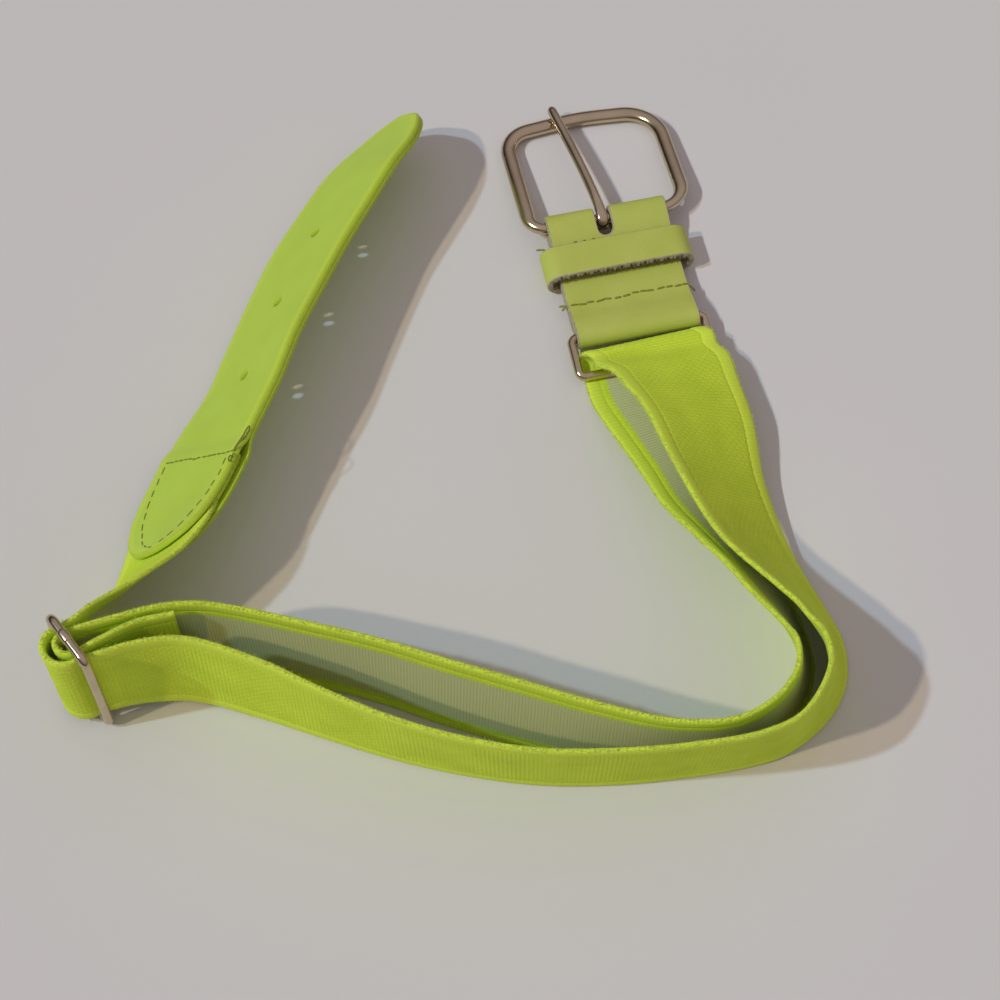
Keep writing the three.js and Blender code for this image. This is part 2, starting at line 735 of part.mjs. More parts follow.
/** The slider: a wire frame with a centre bar, soldered into one piece and standing on end. */
function buildSlider(wasm) {
  const half = SLIDER_WIRE / 2;
  const long = FRONT_TO_CENTRE + CENTRE_TO_BACK;
  const foot = half + COLLAR_GROWTH;
  const corners = table(['u', 'v', 'radius'], [
    [0, foot, 2.6],
    [-long, foot, 2.6],
    [-long, SLIDER_HEIGHT - half, 2.6],
    [0, SLIDER_HEIGHT - half, 2.6],
  ]);
  const points = roundedLoop(corners, 4).map((p) => new THREE.Vector3(p.x, 0, p.y));
  const wire = sweepLoop(points, new THREE.Vector3(0, 1, 0),
    ovalSection(SLIDER_WIRE, SLIDER_WIRE * Math.cos(Math.PI / 10), 10));
  const bar = new THREE.CylinderGeometry(SLIDER_BAR_DIAMETER / 2, SLIDER_BAR_DIAMETER / 2,
    SLIDER_HEIGHT - SLIDER_WIRE, 10);
  bar.rotateX(Math.PI / 2);
  bar.translate(-FRONT_TO_CENTRE, 0, SLIDER_HEIGHT / 2);
  const collars = [foot, SLIDER_HEIGHT - half].map((z) => {
    const collar = new THREE.CylinderGeometry(half + COLLAR_GROWTH, half + COLLAR_GROWTH, 3.4, 12);
    collar.rotateZ(Math.PI / 2);
    collar.translate(-FRONT_TO_CENTRE, 0, z);
    return collar;
  });
  return toGeometry([bar, ...collars].reduce((solid, piece) => solid.add(toSolid(wasm, piece)),
    toSolid(wasm, wire)));
}

/** A named mesh with its own finish. */
function part(name, geometry, finish) {
  const mesh = new THREE.Mesh(geometry, new THREE.MeshStandardMaterial(finish));
  mesh.name = name;
  return mesh;
}

const wasm = await Module();
wasm.setup();

const webbingFinish = { color: 0xa9cf22, roughness: 0.9, metalness: 0 };
const tipFinish = { color: 0xa4cc2e, roughness: 0.55, metalness: 0 };
const tabFinish = { color: 0xb4bd4c, roughness: 0.55, metalness: 0 };
const metalFinish = { color: 0xb9ab9c, roughness: 0.28, metalness: 1 };

const belt = new THREE.Group();

belt.add(part('webbing', buildWebbing(), webbingFinish));
belt.add(part('tip_front', cutAll(wasm, buildTipLayer(-1, TIP_FRONT_THICK), holePins()),
  tipFinish));
belt.add(part('tip_back', cutAll(wasm, buildTipLayer(1, TIP_BACK_THICK), holePins()),
  tipFinish));

belt.add(placeOnTab(part('tab', buildTab(wasm), tabFinish)));
const keeper = placeOnTab(part('keeper', buildKeeper(), tabFinish));
keeper.position.copy(tabPoint(0, KEEPER_WIDTH - 0.3, 0));
belt.add(keeper);

belt.add(placeOnTab(part('buckle_frame', buildFrame(), metalFinish)));
belt.add(placeOnTab(part('prong', buildProng(), metalFinish)));
belt.add(placeOnTab(part('ring', buildRing(), metalFinish)));

const slider = part('slider', buildSlider(wasm), metalFinish);
slider.rotation.z = radians(SLIDER_TURN);
slider.position.copy(sliderFront);
belt.add(slider);

belt.position.set(-BOX_CENTRE.x, -BOX_CENTRE.y, 0);

export default belt;
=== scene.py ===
"""Uniform belt lying unfastened on its edge: elastic webbing, leather tip, tab, keeper and metal."""

import logging
import math
from dataclasses import dataclass
from enum import Enum
from typing import Callable, Sequence

import bmesh
import bpy
import numpy as np
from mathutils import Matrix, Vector
from mathutils.geometry import delaunay_2d_cdt


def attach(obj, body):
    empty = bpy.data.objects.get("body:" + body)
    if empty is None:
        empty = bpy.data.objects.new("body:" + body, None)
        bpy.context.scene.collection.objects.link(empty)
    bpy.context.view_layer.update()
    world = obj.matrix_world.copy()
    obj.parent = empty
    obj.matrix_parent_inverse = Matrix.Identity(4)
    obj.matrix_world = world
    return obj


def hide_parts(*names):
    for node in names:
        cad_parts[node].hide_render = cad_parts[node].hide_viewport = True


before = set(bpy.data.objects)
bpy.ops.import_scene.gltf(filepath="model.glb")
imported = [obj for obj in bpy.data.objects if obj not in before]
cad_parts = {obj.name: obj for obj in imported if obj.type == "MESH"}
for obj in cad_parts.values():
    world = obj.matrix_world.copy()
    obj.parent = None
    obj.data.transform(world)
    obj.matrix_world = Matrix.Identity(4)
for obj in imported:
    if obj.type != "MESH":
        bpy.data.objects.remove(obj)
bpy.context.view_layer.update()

log = logging.getLogger("belt")

Points = np.ndarray
Place = Callable[[Points, Points, Points], Points]

MM = 0.001
BOX_CENTRE = np.array([-11.74, 23.61, 0.0])

# Sizes that the webbing, the leather and the metal share, in millimetres
BELT_WIDTH = 38.0
WEB_THICK = 1.8
CLEAR = 0.3
REST_GAP = 0.1
LAYER_GAP = 0.45
TAB_LEATHER = 1.7
KEEPER_LEATHER = 1.6
RING_WIRE = 2.8
SLIDER_WIRE = 2.8
COLLAR_GROWTH = 0.2
HEEL_BAR_RADIUS = 1.8
TAB_UNDERSIDE = KEEPER_LEATHER + CLEAR
TAB_BODY_TOP = TAB_UNDERSIDE + 2 * TAB_LEATHER + CLEAR
HEEL_Z = TAB_UNDERSIDE + TAB_LEATHER + CLEAR + HEEL_BAR_RADIUS
HEEL_V = 20.2
RING_TOP_Z = TAB_UNDERSIDE + TAB_LEATHER + CLEAR + RING_WIRE / 2
RING_TOP_V = -20.2
RING_LOW_Z = WEB_THICK + 2 * CLEAR + RING_WIRE / 2
RING_BAR_SPACING = 12.8
RING_LOW_V = RING_TOP_V - RING_BAR_SPACING
RING_FOLD_EDGE_V = -24.6
SLIDER_LIFT = SLIDER_WIRE + 2 * COLLAR_GROWTH + REST_GAP
TAB_CENTRE = np.array([37.1, 76.0])
TAB_TURN = math.radians(12.6)
SLIDER_FRONT_BAR = np.array([-108.1, -70.4])
SLIDER_TURN = math.radians(-51.7)
FRONT_TO_CENTRE = 9.5
CENTRE_TO_BACK = 7.5
PRONG_U = -1.3
WIRE_SIDES = 20
# A direction that no thread or fibre follows, from which their sections are turned
SLANT = np.array([0.31, 0.22, 0.93])


class Slot(Enum):
    """The record's material slots."""

    WEBBING = "webbing"
    TIP_LEATHER = "tip_leather"
    TAB_LEATHER = "tab_leather"
    METAL = "metal"


# A material's nodes


class Nodes:
    """A small builder for one material's node tree."""

    def __init__(self, name: str) -> None:
        """Starts an empty tree with a Principled shader and its output.

        Args:
            name: The material's name.
        """
        self.material = bpy.data.materials.new(name)
        self.material.use_nodes = True
        self.tree = self.material.node_tree
        self.shader = self.tree.nodes["Principled BSDF"]

    def add(self, kind: str, **settings: object) -> bpy.types.Node:
        """Adds a node and sets its plain properties.

        Args:
            kind: The node's type, without its prefix.
            settings: Its plain properties.

        Returns:
            The node.
        """
        node = self.tree.nodes.new("ShaderNode" + kind)
        for key, value in settings.items():
            setattr(node, key, value)
        return node

    def feed(self, value: object, socket: bpy.types.NodeSocket) -> None:
        """Links an output to a socket, or sets the socket's own value.

        Args:
            value: An output or a plain value.
            socket: The input that takes it.
        """
        if isinstance(value, bpy.types.NodeSocket):
            self.tree.links.new(value, socket)
        else:
            socket.default_value = value

    def give(self, name: str, value: object) -> None:
        """Feeds one of the shader's inputs."""
        self.feed(value, self.shader.inputs[name])

    def where(self) -> bpy.types.NodeSocket:
        """The place on the object."""
        return self.add("TexCoord").outputs["Object"]

    def attribute(self, name: str) -> bpy.types.Node:
        """Reads a named attribute of the mesh."""
        return self.add("Attribute", attribute_name=name, attribute_type="GEOMETRY")

    def split(self, vector: bpy.types.NodeSocket) -> Sequence[bpy.types.NodeSocket]:
        """The three parts of a vector.

        Args:
            vector: The vector.

        Returns:
            The outputs of x, y and z.
        """
        node = self.add("SeparateXYZ")
        self.feed(vector, node.inputs[0])
        return node.outputs

    def math(self, operation: str, *values: object) -> bpy.types.NodeSocket:
        """A Math node; returns its output.

        Args:
            operation: The operation's name.
            values: Outputs or plain numbers.

        Returns:
            The output.
        """
        node = self.add("Math", operation=operation)
        for value, socket in zip(values, node.inputs):
            self.feed(value, socket)
        return node.outputs[0]

    def ramp(self, value: object, low: float, high: float,
             to_low: float = 0.0, to_high: float = 1.0) -> bpy.types.NodeSocket:
        """Maps a value smoothly from one range to another, clamped.

        Args:
            value: What is mapped.
            low: Where the first range starts.
            high: Where it ends.
            to_low: What low becomes.
            to_high: What high becomes.

        Returns:
            The output.
        """
        node = self.add("MapRange", interpolation_type="SMOOTHSTEP")
        for item, socket in zip((value, low, high, to_low, to_high), node.inputs):
            self.feed(item, socket)
        return node.outputs[0]

    def mix(self, share: object, first: object, second: object) -> bpy.types.NodeSocket:
        """Mixes two colours.

        Args:
            share: How much of the second colour shows.
            first: One colour.
            second: The other one.

        Returns:
            The output.
        """
        node = self.add("Mix", data_type="RGBA", clamp_factor=True)
        self.feed(share, node.inputs[0])
        self.feed(first, node.inputs[6])
        self.feed(second, node.inputs[7])
        return node.outputs[2]

    def noise(self, vector: object, scale: float, detail: float = 3.0,
              rough: float = 0.5) -> bpy.types.NodeSocket:
        """A noise value from 0 to 1.

        Args:
            vector: Where it is read.
            scale: How fine it is.
            detail: Its octaves.
            rough: How strong the fine octaves are.

        Returns:
            The output.
        """
        node = self.add("TexNoise")
        self.feed(vector, node.inputs["Vector"])
        node.inputs["Scale"].default_value = scale
        node.inputs["Detail"].default_value = detail
        node.inputs["Roughness"].default_value = rough
        return node.outputs["Fac"]

    def wave(self, length: object, pitch: float) -> bpy.types.NodeSocket:
        """A cosine from -1 to 1 along a length with the given pitch."""
        turned = self.math("MULTIPLY", length, 2 * math.pi / pitch)
        return self.math("COSINE", turned)

    def bump(self, height: object, distance: float, strength: float = 1.0,
             under: object = None) -> bpy.types.NodeSocket:
        """A bump from a height; returns its normal.

        Args:
            height: The height.
            distance: What a height of 1 means, in metres.
            strength: Its share.
            under: A normal that it is added to.

        Returns:
            The normal.
        """
        node = self.add("Bump")
        node.inputs["Strength"].default_value = strength
        node.inputs["Distance"].default_value = distance
        self.feed(height, node.inputs["Height"])
        if under is not None:
            self.feed(under, node.inputs["Normal"])
        return node.outputs[0]


Colour = tuple[float, float, float, float]


def linear(red: int, green: int, blue: int) -> Colour:
    """A linear colour from 8-bit display values.

    Args:
        red: Red from 0 to 255.
        green: Green.
        blue: Blue.

    Returns:
        The colour, opaque.
    """
    def channel(value: int) -> float:
        """One channel, from 0 to 1."""
        share = value / 255
        return share / 12.92 if share <= 0.04045 else ((share + 0.055) / 1.055) ** 2.4
    return (channel(red), channel(green), channel(blue), 1.0)


# Finishes


@dataclass(frozen=True)
class WebbingFinish:
    """Knitted elastic: neon outside, pale grey-green inside, with bright corded borders."""

    outside: Colour = (0.76, 0.95, 0.070, 1.0)
    # A darker neon tone for the random speckle, also used as painted shade in the pits and rib grooves
    outside_dark_and_pit_shade: Colour = (0.55, 0.74, 0.038, 1.0)
    border: Colour = (0.80, 0.97, 0.105, 1.0)
    border_dark: Colour = (0.64, 0.83, 0.055, 1.0)
    inside: Colour = (0.76, 0.77, 0.44, 1.0)
    inside_dark: Colour = (0.50, 0.54, 0.27, 1.0)
    pit_pitch: float = 2.4
    rib_pitch: float = 1.15
    pale_half_width: float = 12.6

    def build_border(self, name: str) -> bpy.types.Material:
        """Builds the corded borders' material: faint ribs across, fibrous, neon all round.

        Args:
            name: The material's name.

        Returns:
            The material.
        """
        n = Nodes(name)
        lay = n.attribute("lay")
        travel, _, _ = n.split(lay.outputs["Vector"])
        fibre = n.noise(lay.outputs["Vector"], scale=3.2, detail=4.0, rough=0.65)
        wander = n.math("MULTIPLY", fibre, 0.5)
        rib = n.wave(n.math("ADD", travel, wander), self.rib_pitch)
        height = n.math("ADD", n.math("MULTIPLY", rib, 0.07), fibre)
        colour = n.mix(n.ramp(height, 0.15, 0.85), self.border_dark, self.border)
        n.give("Base Color", colour)
        n.give("Normal", n.bump(height, distance=0.00016, strength=0.7))
        return self.finish_cloth(n)

    def build_knit(self, name: str) -> bpy.types.Material:
        """Builds the field's material: pitted neon outside with painted shade in its pits and rib grooves,
        pale inside between ragged teeth.

        Args:
            name: The material's name.

        Returns:
            The material.
        """
        n = Nodes(name)
        lay = n.attribute("lay")
        travel, across, side = n.split(lay.outputs["Vector"])
        fibre = n.noise(lay.outputs["Vector"], scale=3.2, detail=4.0, rough=0.65)
        cloud = n.noise(lay.outputs["Vector"], scale=0.09, detail=2.0)
        wander = n.math("MULTIPLY", n.math("SUBTRACT", fibre, 0.5), 0.6)
        along = n.wave(n.math("ADD", travel, wander), self.pit_pitch)
        over = n.wave(n.math("ADD", across, wander), self.pit_pitch)
        pit = n.ramp(n.math("MULTIPLY", along, over), 0.0, 1.0)
        speckle = n.math("ADD", n.math("MULTIPLY", fibre, 0.8), n.math("MULTIPLY", cloud, 0.5))
        neon = n.mix(n.ramp(speckle, 0.3, 0.85), self.outside_dark_and_pit_shade, self.outside)
        rib = n.ramp(n.wave(n.math("ADD", travel, wander), self.rib_pitch), -1.0, 1.0)
        # Pits and rib grooves are darkened towards the dark neon tone: painted shade in the recesses, on
        # top of the real bump.
        sunk = n.math("MAXIMUM", pit, n.math("MULTIPLY", rib, 0.6))
        neon = n.mix(n.math("MULTIPLY", sunk, 0.5), neon, self.outside_dark_and_pit_shade)
        knit = n.math("MULTIPLY", n.math("ADD", n.wave(n.math("ADD", travel, wander), 0.9), 1.0), 0.5)
        pale = n.mix(n.math("MULTIPLY", n.math("ADD", knit, fibre), 0.5), self.inside_dark, self.inside)
        teeth = n.math("MULTIPLY", n.wave(n.math("ADD", travel, wander), 1.6), 0.35)
        ragged = n.math("ADD", n.math("ADD", n.math("ABSOLUTE", across), teeth),
                        n.math("MULTIPLY", fibre, 0.9))
        in_pale = n.ramp(ragged, self.pale_half_width + 1.1, self.pale_half_width + 0.1)
        in_pale = n.math("MULTIPLY", in_pale, n.ramp(side, 0.0, 0.4))
        n.give("Base Color", n.mix(in_pale, neon, pale))
        depth = n.math("MULTIPLY", sunk, n.ramp(side, 0.4, -0.4, 0.25, 1.0))
        height = n.math("SUBTRACT", n.math("MULTIPLY", fibre, 0.6), n.math("MULTIPLY", depth, 0.6))
        n.give("Normal", n.bump(height, distance=0.00022, strength=0.7))
        return self.finish_cloth(n)

    @staticmethod
    def finish_cloth(n: Nodes) -> bpy.types.Material:
        """Sets the soft gloss that all of the webbing shares.

        Args:
            n: The material's nodes.

        Returns:
            The material.
        """
        n.give("Roughness", 0.9)
        n.give("Sheen Weight", 0.03)
        n.give("Sheen Roughness", 0.5)
        n.give("Specular IOR Level", 0.12)
        return n.material


@dataclass(frozen=True)
class LeatherFinish:
    """Smooth finished leather with a painted or raw edge."""

    face: Colour
    face_dark: Colour
    edge: Colour
    edge_dark: Colour
    back: Colour
    line: Colour = linear(214, 224, 132)
    grain: float = 0.00006
    band: float = 0.0

    def build(self, name: str) -> bpy.types.Material:
        """Builds the material from the sheet's own coordinates and its edge mask.

        Args:
            name: The material's name.

        Returns:
            The material.
        """
        n = Nodes(name)
        lay = n.attribute("lay")
        _, _, side = n.split(lay.outputs["Vector"])
        rim = n.attribute("rim").outputs["Fac"]
        fine = n.noise(lay.outputs["Vector"], scale=1.6, detail=4.0, rough=0.6)
        broad = n.noise(lay.outputs["Vector"], scale=0.08, detail=2.0)
        share = n.ramp(n.math("ADD", n.math("MULTIPLY", fine, 0.35), n.math("MULTIPLY", broad, 0.65)),
                       0.3, 0.75)
        face = n.mix(share, self.face_dark, self.face)
        back = n.mix(fine, self.back, self.face_dark)
        colour = n.mix(n.ramp(side, -0.2, -0.9), face, back)
        if self.band > 0:
            inset = n.attribute("inset").outputs["Fac"]
            colour = n.mix(n.ramp(inset, self.band + 0.3, self.band - 0.3), colour, self.edge)
            crease = n.math("ABSOLUTE", n.math("SUBTRACT", inset, self.band))
            colour = n.mix(n.ramp(crease, 0.5, 0.1, 0.0, 0.2), colour, self.line)
        cut = n.mix(n.ramp(fine, 0.3, 0.7), self.edge, self.edge_dark)
        colour = n.mix(n.ramp(rim, 0.2, 0.8), colour, cut)
        n.give("Base Color", colour)
        pore = n.add("TexVoronoi", feature="SMOOTH_F1")
        n.feed(lay.outputs["Vector"], pore.inputs["Vector"])
        pore.inputs["Scale"].default_value = 2.4
        height = n.math("ADD", n.math("MULTIPLY", pore.outputs["Distance"], 0.7), fine)
        normal = n.bump(height, distance=self.grain, strength=0.6)
        frayed = n.math("MULTIPLY", n.noise(lay.outputs["Vector"], scale=5.0, detail=3.0, rough=0.7), rim)
        n.give("Normal", n.bump(frayed, distance=5 * self.grain, strength=0.8, under=normal))
        n.give("Roughness", n.ramp(fine, 0.2, 0.8, 0.48, 0.6))
        n.give("Specular IOR Level", 0.35)
        return n.material


@dataclass(frozen=True)
class MetalFinish:
    """Warm nickel plate, lightly scuffed."""

    bright: Colour = linear(212, 196, 166)
    dull: Colour = linear(202, 185, 156)

    def build(self, name: str) -> bpy.types.Material:
        """Builds the material.

        Args:
            name: The material's name.

        Returns:
            The material.
        """
        n = Nodes(name)
        where = n.where()
        smudge = n.noise(where, scale=90.0, detail=2.0)
        scuff = n.noise(where, scale=1500.0, detail=2.0, rough=0.7)
        n.give("Base Color", n.mix(n.ramp(smudge, 0.3, 0.7), self.dull, self.bright))
        n.give("Metallic", 1.0)
        n.give("Roughness", n.ramp(smudge, 0.3, 0.75, 0.17, 0.23))
        n.give("Normal", n.bump(scuff, distance=0.00001, strength=0.15))
        return n.material


@dataclass(frozen=True)
class ThreadFinish:
    """Waxed sewing thread."""

    light: Colour = linear(150, 160, 60)
    dark: Colour = linear(96, 104, 36)

    def build(self, name: str) -> bpy.types.Material:
        """Builds the material.

        Args:
            name: The material's name.

        Returns:
            The material.
        """
        n = Nodes(name)
        where = n.where()
        ply = n.noise(where, scale=2600.0, detail=2.0)
        n.give("Base Color", n.mix(ply, self.dark, self.light))
        n.give("Normal", n.bump(ply, distance=0.0001, strength=0.5))
        n.give("Roughness", 0.7)
        return n.material


@dataclass(frozen=True)
class FloorFinish:
    """Plain pale table top."""

    tone: Colour = (0.72, 0.70, 0.68, 1.0)

    def build(self, name: str) -> bpy.types.Material:
        """Builds the material.

        Args:
            name: The material's name.

        Returns:
            The material.
        """
        n = Nodes(name)
        where = n.where()
        faint = n.noise(where, scale=12.0, detail=2.0)
        lighter = tuple(min(1.0, c * 1.02) for c in self.tone[:3]) + (1.0,)
        n.give("Base Color", n.mix(faint, self.tone, lighter))
        n.give("Roughness", 0.9)
        n.give("Specular IOR Level", 0.1)
        return n.material


# Mesh helpers


def smoothstep(value: Points, low: float, high: float) -> Points:
    """0 below low, 1 above high, smooth between."""
    share = np.clip((value - low) / (high - low), 0, 1)
    return share * share * (3 - 2 * share)


def unit(rows: Points, least: float = 0.0) -> Points:
    """Rows made one long; least keeps an empty row from failing."""
    return rows / (np.linalg.norm(rows, axis=1)[:, None] + least)


def lengths(points: Points) -> Points:
    """The length along a line at each of its points."""
    return np.concatenate([[0], np.cumsum(np.linalg.norm(np.diff(points, axis=0), axis=1))])


def make_piece(name: str, points: Points, faces: list, material: bpy.types.Material,
               slot: Slot, body: str = "strap", lay: Points | None = None,
               rim: Points | None = None, inset: Points | None = None) -> bpy.types.Object:
    """Makes a mesh object from points in table millimetres, dresses it and lets it ride.

    Args:
        name: The piece's name.
        points: One row per vertex, in millimetres from the table's own origin.
        faces: Tuples of vertex numbers.
        material: Its finish.
        slot: The record's material slot; not used.
        body: The body that it moves with.
        lay: The surface coordinates of each vertex, for the material.
        rim: 1 on a cut edge, 0 on a face.
        inset: Each vertex's distance from the cut outline.

    Returns:
        The object.
    """
    mesh = bpy.data.meshes.new(name)
    mesh.from_pydata(((points - BOX_CENTRE) * MM).tolist(), [], faces)
    if lay is not None:
        mesh.attributes.new("lay", "FLOAT_VECTOR", "POINT").data.foreach_set(
            "vector", lay.astype(np.float32).ravel())
    for key, values in (("rim", rim), ("inset", inset)):
        if values is not None:
            mesh.attributes.new(key, "FLOAT", "POINT").data.foreach_set("value", values.astype(np.float32))
    mesh.validate()
    mesh.shade_smooth()
    mesh.materials.append(material)
    piece = bpy.data.objects.new(name, mesh)
    bpy.context.scene.collection.objects.link(piece)
    face_outward(piece)
    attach(piece, body)
    log.info("%s: %d faces", name, len(mesh.polygons))
    return piece


def face_outward(piece: bpy.types.Object) -> None:
    """Turns the faces round if the closed mesh's volume comes out negative.

    Args:
        piece: The object.
    """
    mesh = piece.data
    mesh.calc_loop_triangles()
    count = len(mesh.loop_triangles)
    corner = np.zeros(count * 3, np.int32)
    mesh.loop_triangles.foreach_get("vertices", corner)
    place = np.zeros(len(mesh.vertices) * 3, np.float32)
    mesh.vertices.foreach_get("co", place)
    a, b, c = (place.reshape(-1, 3)[corner.reshape(-1, 3)[:, i]].astype(float) for i in range(3))
    if np.einsum("ij,ij->i", a, np.cross(b, c)).sum() < 0:
        mesh.flip_normals()


def tube_faces(rings: int, sides: int, closed: bool = False, first: int = 0) -> list:
    """Quads of a tube of rings, with flat ends unless it closes on itself.

    Args:
        rings: How many rings there are.
        sides: The points of each ring.
        closed: Whether the last ring joins the first.
        first: The number of the first point.

    Returns:
        The faces.
    """
    faces = []
    for i in range(rings if closed else rings - 1):
        here, there = first + i * sides, first + ((i + 1) % rings) * sides
        for j in range(sides):
            k = (j + 1) % sides
            faces.append((here + j, here + k, there + k, there + j))
    if not closed:
        faces.append(tuple(range(first + sides - 1, first - 1, -1)))
        end = first + (rings - 1) * sides
        faces.append(tuple(range(end, end + sides)))
    return faces


def centripetal(points: Points, samples: int) -> Points:
    """A smooth curve through points, with the same number of samples in each span.

    Args:
        points: The points that the curve runs through.
        samples: The samples in each span.

    Returns:
        The curve's points.
    """
    run = np.vstack([2 * points[0] - points[1], points, 2 * points[-1] - points[-2]])
    share = (np.arange(samples) / samples)[:, None]
    made = []
    for p0, p1, p2, p3 in zip(run, run[1:], run[2:], run[3:]):
        d0, d1, d2 = (math.sqrt(np.linalg.norm(b - a)) for a, b in ((p0, p1), (p1, p2), (p2, p3)))
        t1 = ((p1 - p0) / d0 - (p2 - p0) / (d0 + d1) + (p2 - p1) / d1) * d1
        t2 = ((p2 - p1) / d1 - (p3 - p1) / (d1 + d2) + (p3 - p2) / d2) * d1
        bend, twist = -3 * p1 + 3 * p2 - 2 * t1 - t2, 2 * p1 - 2 * p2 + t1 + t2
        made.append(p1 + share * (t1 + share * (bend + share * twist)))
    made.append(points[-1:])
    return np.vstack(made)


def tab_point(u: Points, v: Points, z: Points) -> Points:
    """Table coordinates of points in the tab's own frame: u across, v towards the buckle.

    Args:
        u: Distance across the tab.
        v: Distance towards the buckle.
        z: Height.

    Returns:
        One row of x, y and z for each point.
    """
    u, v, z = np.broadcast_arrays(u, v, z)
    c, s = math.cos(TAB_TURN), math.sin(TAB_TURN)
    return np.stack([TAB_CENTRE[0] + u * c - v * s, TAB_CENTRE[1] + u * s + v * c, z], -1)


# The webbing's route

# Ribs of the webbing: where its lower edge stands, its lift off the table, the direction
# in which its upper edge tips, and its lean from upright in degrees.
TAIL = (
    (-86.5, -54.4, 2.2, 105, 0),
    (-96.6, -57.2, 2.8, 112, 0),
    (-106.0, -62.6, SLIDER_LIFT, 118, 0),
)
INNER_STRAND = (
    (63.1, 45.4, 0, -167, 89),
    (64.0, 40.8, 0, -163, 86),
    (67.2, 32.6, 0, -155, 79),
    (71.2, 20.6, 0, -149, 71),
    (73.3, 7.5, 0, -145, 61),
    (76.3, -6.2, 0, -141, 49),
    (79.6, -19.4, 0, -140, 39),
    (82.9, -32.4, 0, -142, 31),
    (86.6, -44.5, 0, -152, 24),
    (88.0, -53.5, 0, -170, 19),
    (86.2, -62.0, 0, 166, 12),
    (81.5, -69.5, 0, 146, 5),
    (73.7, -76.2, 0, 126, 0),
    (62.1, -81.2, 0, 106, -3),
    (46.0, -82.8, 0, 86, -2),
    (24.6, -81.2, 0, 74, 3),
    (5.3, -76.5, 0, 73, 5),
    (-13.9, -70.6, 0, 72, 5),
    (-32.7, -63.8, 0, 73, 4),
    (-52.1, -58.2, 0, 77, 3),
    (-71.9, -53.0, 0, 83, 2),
    (-81.3, -51.5, 0.8, 90, 1),
    (-90.9, -52.2, 1.9, 98, 0),
    (-101.2, -55.5, 2.8, 105, 0),
    (-110.8, -58.8, SLIDER_LIFT, 108, 0),
)
OUTER_STRAND = (
    (65.2, 49.4, 6.4, -166, 86),
    (68.5, 44.6, 7.3, -165, 79),
    (70.7, 35.2, 8.4, -166, 70.7),
    (74.1, 21.7, 8.4, -169, 61.8),
    (76.8, 2.1, 5.3, -170, 50),
    (83.5, -18.2, 2.0, -161, 41),
    (92.7, -36.2, 0, -161, 30.5),
    (96.3, -44.4, 0, -168, 27),
    (97.4, -53.0, 0, 179, 23),
    (95.8, -61.2, 0, 160, 16),
    (90.4, -69.8, 0, 140, 6),
    (78.5, -79.1, 0, 116, -4),
    (67.9, -82.6, 0, 107, -7),
    (49.3, -85.8, 0, 98, -7.5),
    (30.4, -87.7, 0, 93, -7),
    (10.8, -87.7, 0, 86, -7),
    (-8.0, -85.3, 0, 80, -6),
    (-27.4, -80.9, 0, 75, -4),
    (-45.9, -75.1, 0, 72, -1),
    (-65.3, -68.6, 0, 74, 3),
    (-84.2, -63.7, 1.0, 84, 4),
    (-95.6, -64.2, 2.4, 97, 2),
    (-104.5, -66.1, SLIDER_LIFT, 108, 0),
)
TIP_STRAND = (
    (-113.2, -55.9, SLIDER_LIFT, -50, 1),
    (-112.6, -49.2, 2.4, -50, 7),
    (-112.0, -43.1, 1.2, -46, 13),
    (-111.3, -37.0, 0.4, -38, 20),
    (-110.2, -30.7, 0.3, -27, 28),
    (-108.4, -24.2, 0.7, -16, 37),
    (-105.2, -10.8, 1.1, -15, 45),
    (-100.1, 4.0, 1.2, -19, 47),
    (-94.2, 18.6, 0.9, -22, 45),
    (-87.0, 33.1, 0.5, -21, 42),
    (-81.7, 49.2, 0.5, -19, 41.5),
    (-76.2, 65.9, 0.5, -20, 43.5),
    (-70.3, 82.2, 0.5, -23, 45),
    (-62.3, 98.1, 0.5, -27, 44.5),
    (-53.8, 113.5, 0.5, -31, 43.5),
    (-44.9, 125.6, 0.5, -34, 44),
    (-38.5, 135.2, 0.5, -34, 44),
)
# Loops round the slider's centre bar: bearing from the bar and the webbing's distance
INNER_LOOP = ((-63, 3.8), (-90, 3.6), (-120, 3.5), (-150, 3.4), (-180, 3.2), (-207, 2.8),
              (-232, 2.45), (-256, 2.75))
OUTER_LOOP = ((-60, 6.2), (-80, 6.5), (-104, 6.8), (-124, 6.9), (-144, 6.9), (-164, 6.8),
              (-183, 6.4), (-202, 5.8), (-219, 5.0), (-232, 4.75))
# The fold round the ring's lower bar: bearing, sideways shift and skew
RING_FOLD = ((-90, -0.1, 0), (-60, -0.1, 0.1), (-30, -0.1, 0.3), (0, 0, 0.5), (30, 0.1, 0.6),
             (60, 1.2, 0.7), (90, 2.5, 0.8))


